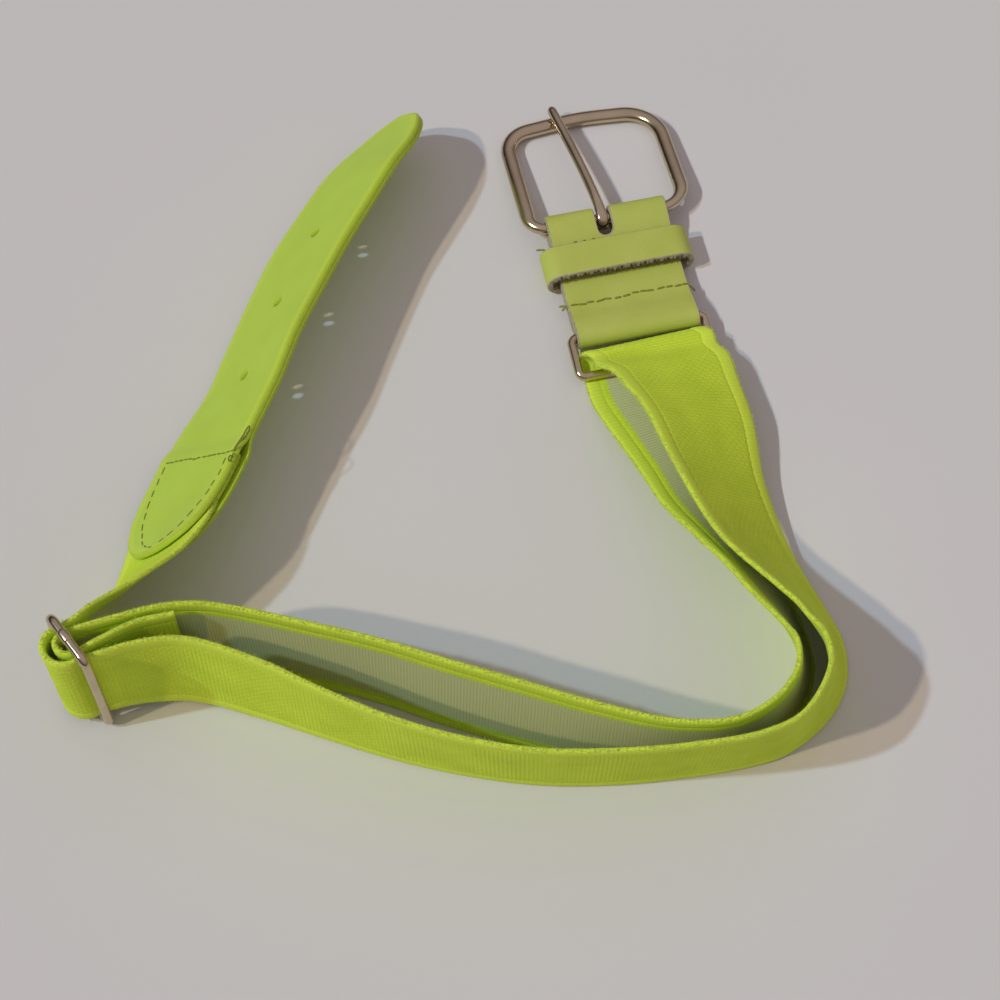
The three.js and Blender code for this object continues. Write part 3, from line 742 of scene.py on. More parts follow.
class WebbingRoute:
    """The way that the whole belt takes, from its sewn tail to the end of the leather tip."""

    samples = 24

    def __init__(self) -> None:
        """Runs smooth curves through the feet and the heads of all ribs."""
        ribs = [self.rib(*row) for row in TAIL]
        ribs += self.loop(INNER_LOOP)
        ribs += [self.rib(*row) for row in reversed(INNER_STRAND)]
        ribs += self.ring_fold()
        ribs += [self.rib(*row) for row in OUTER_STRAND]
        ribs += self.loop(OUTER_LOOP)
        ribs += [self.rib(*row) for row in TIP_STRAND]
        feet = centripetal(np.array([foot for foot, _ in ribs]), self.samples)
        heads = centripetal(np.array([head for _, head in ribs]), self.samples)
        self.middle = (feet + heads) / 2
        self.across = unit(heads - feet)
        self.normal = unit(np.cross(np.gradient(self.middle, axis=0), self.across))
        self.travel = lengths(self.middle)
        self.length = float(self.travel[-1])

    @staticmethod
    def rib(x: float, y: float, lift: float, aim: float, lean: float) -> tuple[Points, Points]:
        """The foot and head of one rib.

        Args:
            x: The foot's x.
            y: The foot's y.
            lift: Its lift off the table.
            aim: The bearing in which the upper edge tips, in degrees.
            lean: Its lean from upright, in degrees.

        Returns:
            The foot and the head.
        """
        way, tip = math.radians(aim), math.radians(lean)
        foot = np.array([x, y, REST_GAP + lift + abs(math.sin(tip)) * WEB_THICK / 2])
        up = np.array([math.cos(way) * math.sin(tip), math.sin(way) * math.sin(tip), math.cos(tip)])
        return foot, foot + up * BELT_WIDTH

    def loop(self, rows: Sequence[tuple[float, float]]) -> list:
        """Upright ribs round the slider's centre bar.

        Args:
            rows: Bearing from the bar in degrees and distance from it.

        Returns:
            The ribs.
        """
        way = np.array([math.cos(SLIDER_TURN), math.sin(SLIDER_TURN)])
        bar = SLIDER_FRONT_BAR - FRONT_TO_CENTRE * way
        return [self.rib(bar[0] + reach * math.cos(math.radians(bearing)),
                         bar[1] + reach * math.sin(math.radians(bearing)), SLIDER_LIFT, 0, 0)
                for bearing, reach in rows]

    def ring_fold(self) -> list:
        """Ribs of the slack fold round the ring's lower bar.

        Returns:
            The ribs.
        """
        low = REST_GAP + WEB_THICK / 2
        high = RING_LOW_Z + RING_WIRE + WEB_THICK / 2
        radius = (high - low) / 2
        centre_v = RING_FOLD_EDGE_V - WEB_THICK / 2 - radius
        made = []
        for bearing, shift, skew in RING_FOLD:
            v = centre_v + radius * math.cos(math.radians(bearing))
            z = (high + low) / 2 + radius * math.sin(math.radians(bearing))
            made.append((tab_point(shift + BELT_WIDTH / 2, v + skew, z),
                         tab_point(shift - BELT_WIDTH / 2, v - skew, z)))
        return made

    def at(self, travel: Points) -> tuple[Points, Points, Points]:
        """Middle, direction across and face normal at any travels.

        Args:
            travel: How far along the route.

        Returns:
            Three arrays with one row for each travel.
        """
        found = []
        for rows in (self.middle, self.across, self.normal):
            found.append(np.stack([np.interp(travel, self.travel, rows[:, i]) for i in range(3)], -1))
        return tuple(found)

    def place(self, travel: Points, across: Points, offset: Points) -> Points:
        """Points by travel, distance across from the middle, and distance off the middle plane."""
        middle, side, normal = self.at(travel)
        return middle + side * across[:, None] + normal * offset[:, None]


# Leather sheets


@dataclass
class Sheet:
    """A cut piece of leather, flat at first, with rounded edges and punched holes.

    Attributes:
        outline: The cut's outline in flat millimetres.
        holes: The outlines of its holes.
        place: Maps flat coordinates and depth from 0 (first face) to 1 (second face) to the table.
        spacing: The distance of the points inside.
        thick: Its thickness, used for the edges' rounding.
        round_first: Radius of the rounding at the first face's edge.
        round_second: Radius at the second face's edge.
        steps: The steps of each rounding.
        clear: How near a point inside may lie to the edge, as a share of the spacing.
    """

    outline: Points
    holes: list
    place: Place
    spacing: float
    thick: float
    round_first: float = 0.5
    round_second: float = 0.5
    steps: int = 4
    clear: float = 0.55

    def profile(self) -> list[tuple[float, float]]:
        """Rows of inset and depth round the edge, from the first face to the second.

        Returns:
            The rows.
        """
        rows = []
        for k in range(self.steps + 1):
            turn = math.pi / 2 * k / self.steps
            rows.append((self.round_first * (1 - math.sin(turn)),
                         self.round_first * (1 - math.cos(turn)) / self.thick))
        for k in range(self.steps + 1):
            turn = math.pi / 2 * k / self.steps
            rows.append((self.round_second * (1 - math.cos(turn)),
                         1 - self.round_second * (1 - math.sin(turn)) / self.thick))
        return rows

    def loops(self) -> list[tuple[Points, Points]]:
        """Each boundary loop with its directions into the leather.

        Returns:
            The loop and its inward directions, the outline first.
        """
        found = []
        for number, loop in enumerate([self.outline, *self.holes]):
            way = unit(np.roll(loop, -1, 0) - np.roll(loop, 1, 0), 1e-9)
            inward = np.stack([-way[:, 1], way[:, 0]], -1)
            x, y = loop[:, 0], loop[:, 1]
            area = (x * np.roll(y, -1) - np.roll(x, -1) * y).sum()
            if (area < 0) != (number > 0):
                inward = -inward
            found.append((loop, inward))
        return found

    @staticmethod
    def inside(points: Points, loop: Points) -> Points:
        """Whether each point lies inside a closed loop.

        Args:
            points: The points.
            loop: The closed loop.

        Returns:
            True or false for each point.
        """
        x, y = points[:, 0:1], points[:, 1:2]
        x0, y0 = loop[:, 0], loop[:, 1]
        x1, y1 = np.roll(x0, -1), np.roll(y0, -1)
        crosses = (y0 > y) != (y1 > y)
        at = (x1 - x0) * (y - y0) / np.where(y1 == y0, 1e-9, y1 - y0) + x0
        return (crosses & (x < at)).sum(1) % 2 == 1

    def build(self, name: str, material: bpy.types.Material, slot: Slot) -> bpy.types.Object:
        """Cuts the sheet, rounds its edges and lays it in place.

        Args:
            name: The piece's name.
            material: Its finish.
            slot: The record's material slot.

        Returns:
            The object.
        """
        loops = self.loops()
        profile = self.profile()
        inset = profile[0][0]
        rings = [loop + inward * inset for loop, inward in loops]
        low, high = self.outline.min(0), self.outline.max(0)
        grid = np.stack(np.meshgrid(np.arange(low[0], high[0], self.spacing),
                                    np.arange(low[1], high[1], self.spacing)), -1).reshape(-1, 2)
        rim_points = np.vstack(rings)
        far = np.array([np.min(np.hypot(*(rim_points - p).T)) > self.clear * self.spacing for p in grid])
        keep = far & self.inside(grid, rings[0])
        for ring in rings[1:]:
            keep &= ~self.inside(grid, ring)
        flat = np.vstack([rim_points, grid[keep]])
        edges, start = [], 0
        for ring in rings:
            count = len(ring)
            edges += [(start + i, start + (i + 1) % count) for i in range(count)]
            start += count
        made, _, triangles, *_ = delaunay_2d_cdt([Vector(p) for p in flat], edges, [], 0, 1e-7)
        flat = np.array([tuple(p) for p in made])
        triangles = np.array(triangles)
        centres = flat[triangles].mean(1)
        good = self.inside(centres, rings[0])
        for ring in rings[1:]:
            good &= ~self.inside(centres, ring)
        triangles = triangles[good]
        return self.assemble(name, flat, triangles, loops, profile, material, slot)

    def assemble(self, name: str, flat: Points, triangles: Points, loops: list, profile: list,
                 material: bpy.types.Material, slot: Slot) -> bpy.types.Object:
        """Joins both faces by the edge's profile and makes the piece.

        Args:
            name: The piece's name.
            flat: The face's flat points, the rims' first.
            triangles: The face's triangles.
            loops: The boundary loops with their directions.
            profile: The edge's rows of inset and depth.
            material: Its finish.
            slot: The record's material slot.

        Returns:
            The object.
        """
        count = len(flat)
        rim_count = sum(len(loop) for loop, _ in loops)
        second = flat.copy()
        shift = np.vstack([inward for _, inward in loops]) * (profile[-1][0] - profile[0][0])
        second[:rim_count] += shift
        plan = [np.column_stack([flat, np.full(count, profile[0][1])]),
                np.column_stack([second, np.full(count, profile[-1][1])])]
        rim = [np.zeros(2 * count)]
        faces = [tuple(map(int, t)) for t in triangles]
        faces += [tuple(int(count + i) for i in t[::-1]) for t in triangles]
        total, start = 2 * count, 0
        for loop, inward in loops:
            size = len(loop)
            rows = [list(range(start, start + size))]
            for depth_in, depth in profile[1:-1]:
                plan.append(np.column_stack([loop + inward * depth_in, np.full(size, depth)]))
                rim.append(np.ones(size))
                rows.append(list(range(total, total + size)))
                total += size
            rows.append(list(range(count + start, count + start + size)))
            for here, there in zip(rows, rows[1:]):
                faces += [(here[i], here[(i + 1) % size], there[(i + 1) % size], there[i])
                          for i in range(size)]
            start += size
        plan = np.vstack(plan)
        lay = plan.copy()
        lay[:, 2] = 1 - 2 * plan[:, 2]
        points = self.place(plan[:, 0], plan[:, 1], plan[:, 2])
        piece = make_piece(name, points, faces, material, slot, lay=lay, rim=np.concatenate(rim),
                           inset=self.from_outline(plan[:, :2]))
        consistent(piece)
        return piece

    def from_outline(self, points: Points) -> Points:
        """Each point's distance from the sheet's outline.

        Args:
            points: Flat points.

        Returns:
            The distances.
        """
        start, way = self.outline, np.roll(self.outline, -1, 0) - self.outline
        least = np.full(len(points), np.inf)
        for p, w in zip(start, way):
            share = np.clip((points - p) @ w / max(float(w @ w), 1e-9), 0, 1)
            least = np.minimum(least, np.hypot(*(points - p - share[:, None] * w).T))
        return least


def consistent(piece: bpy.types.Object) -> None:
    """Makes all faces of a closed mesh face out.

    Args:
        piece: The object.
    """
    body = bmesh.new()
    body.from_mesh(piece.data)
    bmesh.ops.recalc_face_normals(body, faces=body.faces)
    body.to_mesh(piece.data)
    body.free()
    face_outward(piece)


def circle(centre: tuple[float, float], radius: float, count: int = 28) -> Points:
    """Points of a circle."""
    turn = np.arange(count) * 2 * math.pi / count
    return np.column_stack([centre[0] + radius * np.cos(turn), centre[1] + radius * np.sin(turn)])


def resample(points: Points, step: float, closed: bool = True) -> Points:
    """Spaces the points of a line evenly.

    Args:
        points: The line's points.
        step: The spacing aimed at.
        closed: Whether the line closes on itself.

    Returns:
        The new points.
    """
    run = np.vstack([points, points[:1]]) if closed else points
    along = lengths(run)
    count = max(3, int(round(along[-1] / step)))
    at = np.linspace(0, along[-1], count + 1)
    made = np.column_stack([np.interp(at, along, run[:, i]) for i in range(run.shape[1])])
    return made[:-1] if closed else made


class FoldedLine:
    """A strip's middle line in a plane, read by the length along it."""

    def __init__(self, points: Points) -> None:
        """Smooths the line and measures it.

        Args:
            points: The line's points.
        """
        self.points = resample(centripetal(points, 10), 0.2, closed=False)
        self.along = lengths(self.points)
        self.length = float(self.along[-1])
        way = unit(np.gradient(self.points, axis=0))
        self.left = np.column_stack([-way[:, 1], way[:, 0]])

    def at(self, length: Points, off: Points) -> tuple[Points, Points]:
        """Plane coordinates at a length along the line and a distance to its left.

        Args:
            length: How far along the line.
            off: How far to its left.

        Returns:
            Both coordinates.
        """
        p = [np.interp(length, self.along, self.points[:, i]) for i in range(2)]
        n = [np.interp(length, self.along, self.left[:, i]) for i in range(2)]
        return p[0] + n[0] * off, p[1] + n[1] * off


def arc(cx: float, cy: float, radius: float, start: float, end: float, steps: int) -> list:
    """Points of an arc, bearings in degrees."""
    turns = np.radians(np.linspace(start, end, steps + 1))
    return [(cx + radius * math.cos(t), cy + radius * math.sin(t)) for t in turns]


# Sub-assemblies


@dataclass
class Webbing:
    """The elastic webbing: a knitted field between two corded borders with fuzzy edges."""

    route: WebbingRoute
    end: float
    border: float = 5.2
    field_thick: float = 1.56
    field_half: float = 16.2
    field_edge_half: float = 0.4
    border_sides: int = 14
    border_power: float = 0.6
    border_room: float = 0.12
    border_sunk: float = 0.03
    swell: float = 0.02
    pit_pitch: float = 2.4
    pit_depth: float = 0.16
    tooth_pitch: float = 1.15
    tooth_height: float = 0.05
    tuck_in: float = 1.7
    tuck_starts: float = 26.0
    tuck_ends: float = 15.0
    hairs: int = 14000
    shortest_hair: float = 0.3
    longest_hair: float = 0.95
    hair_radius: float = 0.1
    hair_floor: float = 0.12
    hair_root: float = 0.12
    hair_band: float = 0.7
    hair_spread: float = 0.45

    def build_field(self, material: bpy.types.Material) -> bpy.types.Object:
        """Builds the knitted middle, with its pits on the outer face.

        Args:
            material: Its finish.

        Returns:
            The object.
        """
        step = self.pit_pitch / 2
        travel = np.arange(0, self.end, step / 2)
        columns = 2 * int(self.field_half / step) + 1
        across = (np.arange(columns) - columns // 2) * step
        a = np.tile(np.concatenate([across, across[::-1]]), len(travel))
        side = np.tile(np.repeat([-1.0, 1.0], columns), len(travel))
        t = np.repeat(travel, 2 * columns)
        turn = 2 * math.pi / self.pit_pitch
        pit = (1 + np.cos(turn * t) * np.cos(turn * a)) / 2
        sunk = np.where(side < 0, self.pit_depth * pit, 0)
        half = np.where(np.abs(a) > across[-1] - 0.1, self.field_edge_half, self.field_thick / 2)
        points = self.route.place(t, a, side * (half - sunk))
        piece = make_piece("webbing_field", points, tube_faces(len(travel), 2 * columns), material,
                           Slot.WEBBING, lay=np.column_stack([t, a, side]))
        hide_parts("webbing")
        return piece

    def edge(self, travel: Points) -> Points:
        """Half the webbing's width, narrower where the leather tongues hide it."""
        tucked = smoothstep(travel, self.end - self.tuck_starts, self.end - self.tuck_ends)
        return BELT_WIDTH / 2 - self.tuck_in * tucked

    def build_border(self, name: str, sign: int, material: bpy.types.Material) -> bpy.types.Object:
        """Builds one corded border.

        Args:
            name: The piece's name.
            sign: 1 for the upper edge, -1 for the lower one.
            material: Its finish.

        Returns:
            The object.
        """
        travel = np.arange(-0.2, self.end + 0.2, self.tooth_pitch / 4)
        turn = (np.arange(self.border_sides) + 0.5) * 2 * math.pi / self.border_sides
        half = self.border / 2
        outward, upward = np.cos(turn), np.sin(turn)
        squared = np.where(outward > 0, self.border_power, 1.0)
        shape_a = np.sign(outward) * np.abs(outward) ** squared * (half - self.border_room)
        shape_o = np.sign(upward) * np.abs(upward) ** squared * (WEB_THICK / 2 - self.border_sunk)
        tooth = np.cos(2 * math.pi * travel / self.tooth_pitch)
        rings, sides = len(travel), len(turn)
        teeth = self.tooth_height * np.outer(tooth, np.maximum(outward, 0))
        a = sign * (self.edge(travel)[:, None] - half + shape_a + teeth)
        o = np.outer(1 + self.swell * tooth, shape_o)
        t = np.repeat(travel, sides)
        points = self.route.place(t, a.ravel(), o.ravel())
        lay = np.column_stack([t, a.ravel(), o.ravel()])
        return make_piece(name, points, tube_faces(rings, sides), material, Slot.WEBBING, lay=lay)

    def build_fuzz(self, material: bpy.types.Material) -> bpy.types.Object:
        """Builds the short fibres that stand out of both edges.

        Args:
            material: Its finish.

        Returns:
            The object.
        """
        rng = np.random.default_rng(7)
        travel = rng.uniform(0, self.end, self.hairs)
        sign = rng.choice([-1.0, 1.0], self.hairs)
        middle, side, normal = self.route.at(travel)
        root = middle + side * (sign * (self.edge(travel) - self.hair_root))[:, None]
        root += normal * rng.uniform(-self.hair_band, self.hair_band, (self.hairs, 1))
        way = unit(side * sign[:, None] + rng.normal(0, self.hair_spread, (self.hairs, 3)))
        length = rng.uniform(self.shortest_hair, self.longest_hair, self.hairs)
        clear = np.minimum(root[:, 2], (root + way * length[:, None])[:, 2]) > self.hair_floor
        points, faces = spikes(root[clear], way[clear], length[clear], self.hair_radius)
        lay = np.repeat(np.column_stack([travel, sign * BELT_WIDTH / 2, sign])[clear], 4, axis=0)
        return make_piece("webbing_fuzz", points, faces, material, Slot.WEBBING, lay=lay)


def spikes(root: Points, way: Points, length: Points, radius: float) -> tuple[Points, list]:
    """Thin three-sided closed spikes, for fibres.

    Args:
        root: Where each one starts.
        way: Its direction.
        length: Its length.
        radius: The radius of its foot.

    Returns:
        The points and the faces.
    """
    side = unit(np.cross(way, SLANT))
    up = np.cross(way, side)
    rows = [root + radius * (side * math.cos(turn) + up * math.sin(turn))
            for turn in (0, 2 * math.pi / 3, 4 * math.pi / 3)]
    points = np.stack([*rows, root + way * length[:, None]], 1).reshape(-1, 3)
    faces = []
    for i in range(0, 4 * len(root), 4):
        faces += [(i, i + 2, i + 1), (i, i + 1, i + 3), (i + 1, i + 2, i + 3), (i + 2, i, i + 3)]
    return points, faces


def thread_tubes(paths: Sequence[Points], radius: float, sides: int = 7) -> tuple[Points, list]:
    """Closed tubes of thread with rounded ends.

    Args:
        paths: One row of points for each length of thread.
        radius: The thread's radius.
        sides: The tube's sides.

    Returns:
        The points and the faces.
    """
    turn = np.arange(sides) * 2 * math.pi / sides
    points, faces, first = [], [], 0
    for path in paths:
        way = unit(np.gradient(path, axis=0), 1e-9)
        side = unit(np.cross(way, SLANT))
        up = np.cross(way, side)
        thin = np.sqrt(np.clip(1 - np.linspace(-1, 1, len(path)) ** 8, 0.05, 1))[:, None, None]
        ring = side[:, None] * np.cos(turn)[:, None] + up[:, None] * np.sin(turn)[:, None]
        points.append((path[:, None] + radius * thin * ring).reshape(-1, 3))
        faces += tube_faces(len(path), sides, first=first)
        first += len(path) * sides
    return np.vstack(points), faces


@dataclass
class Seam:
    """A line of separate stitches, each sunk into the leather at its ends.

    Attributes:
        length: A stitch's usual length.
        gap: The gap between two stitches.
        radius: How deep the ends sink below the surface.
        proud: How high the middle stands.
        waver: The spread of the small irregularities.
        least_rest: The share of a stitch below which the seam's rest stays bare.
        shortest: The shortest stitch as a share of the usual one.
        longest: The longest.
    """

    length: float = 3.1
    gap: float = 0.9
    radius: float = 0.36
    proud: float = 0.18
    waver: float = 0.25
    least_rest: float = 0.6
    shortest: float = 0.85
    longest: float = 1.1

    def stitches(self, line: Points, surface: Callable[[Points, Points], Points], seed: int) -> list:
        """The stitches' paths.

        Args:
            line: The seam's flat line on the leather.
            surface: Maps flat points and their heights above the leather to the table.
            seed: Starts the small irregularities.

        Returns:
            One path for each stitch.
        """
        rng = np.random.default_rng(seed)
        fine = resample(line, 0.1, closed=False)
        along = lengths(fine)
        paths, start = [], 0.0
        while start < along[-1] - self.least_rest * self.length:
            end = min(along[-1], start + self.length * rng.uniform(self.shortest, self.longest))
            share = np.linspace(0, 1, 9)
            at = start + (end - start) * share
            flat = np.column_stack([np.interp(at, along, fine[:, i]) for i in range(2)])
            flat += rng.normal(0, self.waver, (1, 2)) + np.outer(share - 0.5, rng.normal(0, self.waver, 2))
            height = self.proud - (self.proud + self.radius) * (2 * share - 1) ** 6
            paths.append(surface(flat, height))
            start = end + self.gap
        return paths


@dataclass
class LeatherTip:
    """Two leather layers with three holes, and the stitched tongue that takes the webbing."""

    route: WebbingRoute
    stitch: float
    length: float = 137.4
    tongue: float = 33.8
    tongue_nose: float = 1.2
    tongue_power: float = 5.5
    nose_length: float = 31.0
    nose_half: float = 1.6
    nose_power: float = 1.6
    inset: float = 0.4
    tuck: float = 1.0
    front_thick: float = 1.5
    back_thick: float = 1.3
    middle_gap: float = 0.02
    hole: float = 2.6
    hole_pitch: float = 27.0
    first_hole: float = 53.0
    hole_count: int = 3
    closing: float = 6.0
    stitch_radius: float = 0.24
    loop_radius: float = 0.22
    loop_sunk: float = 0.2

    def half_width(self, travel: float) -> float:
        """Half the leather's width at a travel.

        Args:
            travel: How far along the route.

        Returns:
            The half width.
        """
        ahead = self.stitch - travel
        if ahead > 0:
            share = min(1.0, ahead / self.tongue)
            widening = BELT_WIDTH / 2 - self.inset - self.tongue_nose
            return self.tongue_nose + widening * math.sqrt(1 - share ** self.tongue_power)
        back = self.route.length - travel
        if back >= self.nose_length:
            return BELT_WIDTH / 2
        left = 1 - max(0.0, back) / self.nose_length
        return self.nose_half + (BELT_WIDTH / 2 - self.nose_half) * math.sqrt(1 - left ** self.nose_power)

    def opening(self, travel: Points) -> Points:
        """0 where both layers lie on each other, 1 where they hold the webbing."""
        return smoothstep(self.stitch - travel, -self.tuck - self.closing, -self.tuck)

    def face(self, travel: Points, thick: float) -> Points:
        """How far a layer's outer face lies from the middle plane."""
        closed, opened = LAYER_GAP / 2, WEB_THICK / 2 + LAYER_GAP
        return closed + (opened - closed) * self.opening(travel) + thick

    def outline(self) -> Points:
        """The flat outline: travel and distance across.

        Returns:
            The points.
        """
        turn = np.linspace(0, math.pi, 260)
        start, end = self.stitch - self.tongue, self.route.length
        travel = (start + end) / 2 - (end - start) / 2 * np.cos(turn)
        half = np.array([self.half_width(t) for t in travel])
        one = np.column_stack([travel, half])
        other = np.column_stack([travel, -half])[::-1]
        return resample(np.vstack([one, other]), 0.8)

    def build_layer(self, name: str, side: int, material: bpy.types.Material) -> bpy.types.Object:
        """Builds one layer.

        Args:
            name: The piece's name.
            side: -1 for the visible front layer, 1 for the back one.
            material: Its finish.

        Returns:
            The object.
        """
        thick = self.front_thick if side < 0 else self.back_thick

        def place(travel: Points, across: Points, depth: Points) -> Points:
            """Lays flat leather on the route.

            Args:
                travel: How far along the route.
                across: How far from the middle line.
                depth: 0 on the outer face, 1 on the inner one.

            Returns:
                Points on the table.
            """
            opened = WEB_THICK / 2 + LAYER_GAP
            inner = self.middle_gap + self.opening(travel) * (opened - self.middle_gap)
            outer = self.face(travel, thick)
            return self.route.place(travel, across, side * (outer + (inner - outer) * depth))

        holes = [circle((self.route.length - self.first_hole - i * self.hole_pitch, 0.0),
                        self.hole / 2) for i in range(self.hole_count)]
        sheet = Sheet(self.outline(), holes, place, spacing=1.6, thick=thick, round_first=0.9,
                      round_second=0.15)
        piece = sheet.build(name, material, Slot.TIP_LEATHER)
        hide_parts("tip_front" if side < 0 else "tip_back")
        return piece

    def front(self, flat: Points, height: Points) -> Points:
        """Points at a height above the front face, from travel and distance across."""
        face = self.face(flat[:, 0], self.front_thick)
        return self.route.place(flat[:, 0], flat[:, 1], -(face + height))

    def build_seams(self, material: bpy.types.Material) -> bpy.types.Object:
        """Sews the tongue down: one seam straight across and one round the tongue.

        Args:
            material: Its finish.

        Returns:
            The object.
        """
        across = np.array([(self.stitch + 0.4, -15.2), (self.stitch - 0.2, 0.0), (self.stitch + 0.3, 18.4)])
        left = ((0.8, -14.6), (11, -13.6), (20, -11.5), (25.6, -8.5), (29.6, -4.6), (31.4, -0.5), (32, 3))
        right = ((2.0, 15.9), (11, 15.5), (17, 14.5), (22.6, 13.0), (27.0, 10.6), (30.2, 7.4), (32, 3))
        seam = Seam(length=2.9, gap=1.1, radius=0.24, proud=0.02, waver=0.15)
        cross = Seam(length=2.2, gap=0.15, radius=0.3, proud=0.05, waver=0.12)
        paths = cross.stitches(across, self.front, 3)
        for seed, side in ((5, left), (6, right)):
            line = centripetal(np.array([(self.stitch - ahead, a) for ahead, a in side]), 8)
            paths += seam.stitches(line, self.front, seed)
        points, faces = thread_tubes(paths, self.stitch_radius)
        return make_piece("tip_stitches", points, faces, material, Slot.TIP_LEATHER)

    def build_loose_thread(self, material: bpy.types.Material) -> bpy.types.Object:
        """The loop of thread and the knot that stand at the seam's upper end.

        Args:
            material: Its finish.

        Returns:
            The object.
        """
        loop = np.array([(-0.4, 18.3, 0.2), (2.0, 19.6, 0.7), (4.4, 20.6, 0.9), (7.0, 20.9, 0.9),
                         (8.6, 20.0, 0.9), (7.4, 19.0, 0.8), (4.6, 18.9, 0.7), (2.4, 18.4, 0.4),
                         (-0.4, 17.6, 0.2)])
        knot = np.array([(-0.6, 18.4, 0.2), (-1.8, 19.0, 0.6), (-3.2, 19.3, 0.7), (-3.9, 18.7, 0.7),
                         (-3.0, 18.2, 0.9), (-2.2, 18.9, 1.1), (-3.0, 19.6, 0.8)])
        paths = []
        for rows in (loop, knot):
            fine = centripetal(rows, 6)
            flat = np.column_stack([self.stitch + fine[:, 0], fine[:, 1]])
            paths.append(self.front(flat, fine[:, 2] - self.loop_sunk))
        points, faces = thread_tubes(paths, self.loop_radius)
        return make_piece("tip_thread_loop", points, faces, material, Slot.TIP_LEATHER)


@dataclass
class LeatherTab:
    """The leather tab folded round the buckle's heel bar and the ring's upper bar."""

    slot_width: float = 4.8
    slot_end_v: float = 13.2
    stitch_radius: float = 0.34

    def line(self) -> FoldedLine:
        """The tab's middle line in v and z.

        Returns:
            The line.
        """
        half = TAB_LEATHER / 2
        under, over = TAB_UNDERSIDE + half, TAB_BODY_TOP - half
        top = RING_TOP_Z + RING_WIRE / 2 + CLEAR + half
        points = [(2.6, under), (-10, under)]
        points += arc(RING_TOP_V, RING_TOP_Z, RING_WIRE / 2 + CLEAR + half, -90, -262, 10)
        points += [(-16.5, top - 0.6), (-12, over + 0.9), (-7.5, over + 0.05), (0, over),
                   (7, over + 0.1), (11.5, over + 1.3), (15.5, over + 3.0)]
        points += arc(HEEL_V, HEEL_Z, HEEL_BAR_RADIUS + CLEAR + half, 100, -90, 11)
        points += [(10, under), (3.4, under)]
        return FoldedLine(np.array(points, float))

    def slot_outline(self, line: FoldedLine) -> Points:
        """The prong's slot in the flat leather.

        Args:
            line: The tab's middle line.

        Returns:
            The outline.
        """
        over_end = line.along[(line.points[:, 0] > self.slot_end_v) & (line.points[:, 1] > HEEL_Z)][0]
        under_end = line.along[(line.points[:, 0] > self.slot_end_v) & (line.points[:, 1] < HEEL_Z)][-1]
        r = self.slot_width / 2
        points = arc(over_end + r, PRONG_U, r, 90, 270, 12) + arc(under_end - r, PRONG_U, r, -90, 90, 12)
        return resample(np.array(points, float), 0.7)

    def build(self, material: bpy.types.Material) -> bpy.types.Object:
        """Builds the tab.

        Args:
            material: Its finish.

        Returns:
            The object.
        """
        line = self.line()

        def place(length: Points, across: Points, depth: Points) -> Points:
            """Folds the flat tab."""
            v, z = line.at(length, TAB_LEATHER * (0.5 - depth))
            return tab_point(across, v, z)

        half = BELT_WIDTH / 2
        corners = np.array([(0, -half), (line.length, -half), (line.length, half), (0, half)], float)
        sheet = Sheet(resample(corners, 0.8), [self.slot_outline(line)], place, spacing=1.3,
                      thick=TAB_LEATHER, round_first=0.45, round_second=0.2)
        piece = sheet.build("tab_leather", material, Slot.TAB_LEATHER)
        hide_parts("tab")
        return piece

    def build_seams(self, material: bpy.types.Material) -> bpy.types.Object:
        """Sews the folded tab together on both sides of the keeper, with loose ends.

        Args:
            material: Its finish.

        Returns:
            The object.
        """
        line = self.line()
        upper = line.points[:, 1] > HEEL_Z

        def surface(flat: Points, height: Points) -> Points:
            """Points at a height above the upper leather.

            Args:
                flat: Rows of u and v.
                height: Heights above the leather.

            Returns:
                Points on the table.
            """
            length = np.interp(flat[:, 1], line.points[upper, 0], line.along[upper])
            v, z = line.at(length, TAB_LEATHER / 2 + height)
            return tab_point(flat[:, 0], v, z)

        seam = Seam(length=2.6, gap=0.2, radius=0.4, proud=0.12, waver=0.3)
        lower = np.array([(-18.6, -9.3), (-8.0, -9.1), (1.0, -8.8), (10.0, -8.9), (18.4, -8.9)])
        by_slot = np.array([(-12.0, 12.7), (-3.9, 13.0)])
        dots = Seam(length=0.8, gap=2.2, radius=0.3, proud=0.0, waver=0.1)
        paths = seam.stitches(lower, surface, 11) + dots.stitches(by_slot, surface, 12)
        ends = (((-18.6, 12.8, 6.0), (-20.4, 13.0, 4.6), (-21.6, 14.2, 3.8), (-23.4, 14.5, 3.6)),
                ((-18.6, -9.2, 5.6), (-19.7, -8.6, 4.9), (-20.6, -8.8, 3.6)),
                ((-19.2, -8.4, 5.0), (-20.0, -7.4, 4.0), (-21.2, -7.0, 3.4)),
                ((18.3, -8.9, 5.6), (19.6, -9.4, 5.0), (20.9, -10.6, 3.6)))
        for rows in ends:
            fine = centripetal(np.array(rows), 6)
            paths.append(tab_point(*fine.T))
        points, faces = thread_tubes(paths, self.stitch_radius)
        return make_piece("tab_stitches", points, faces, material, Slot.TAB_LEATHER)


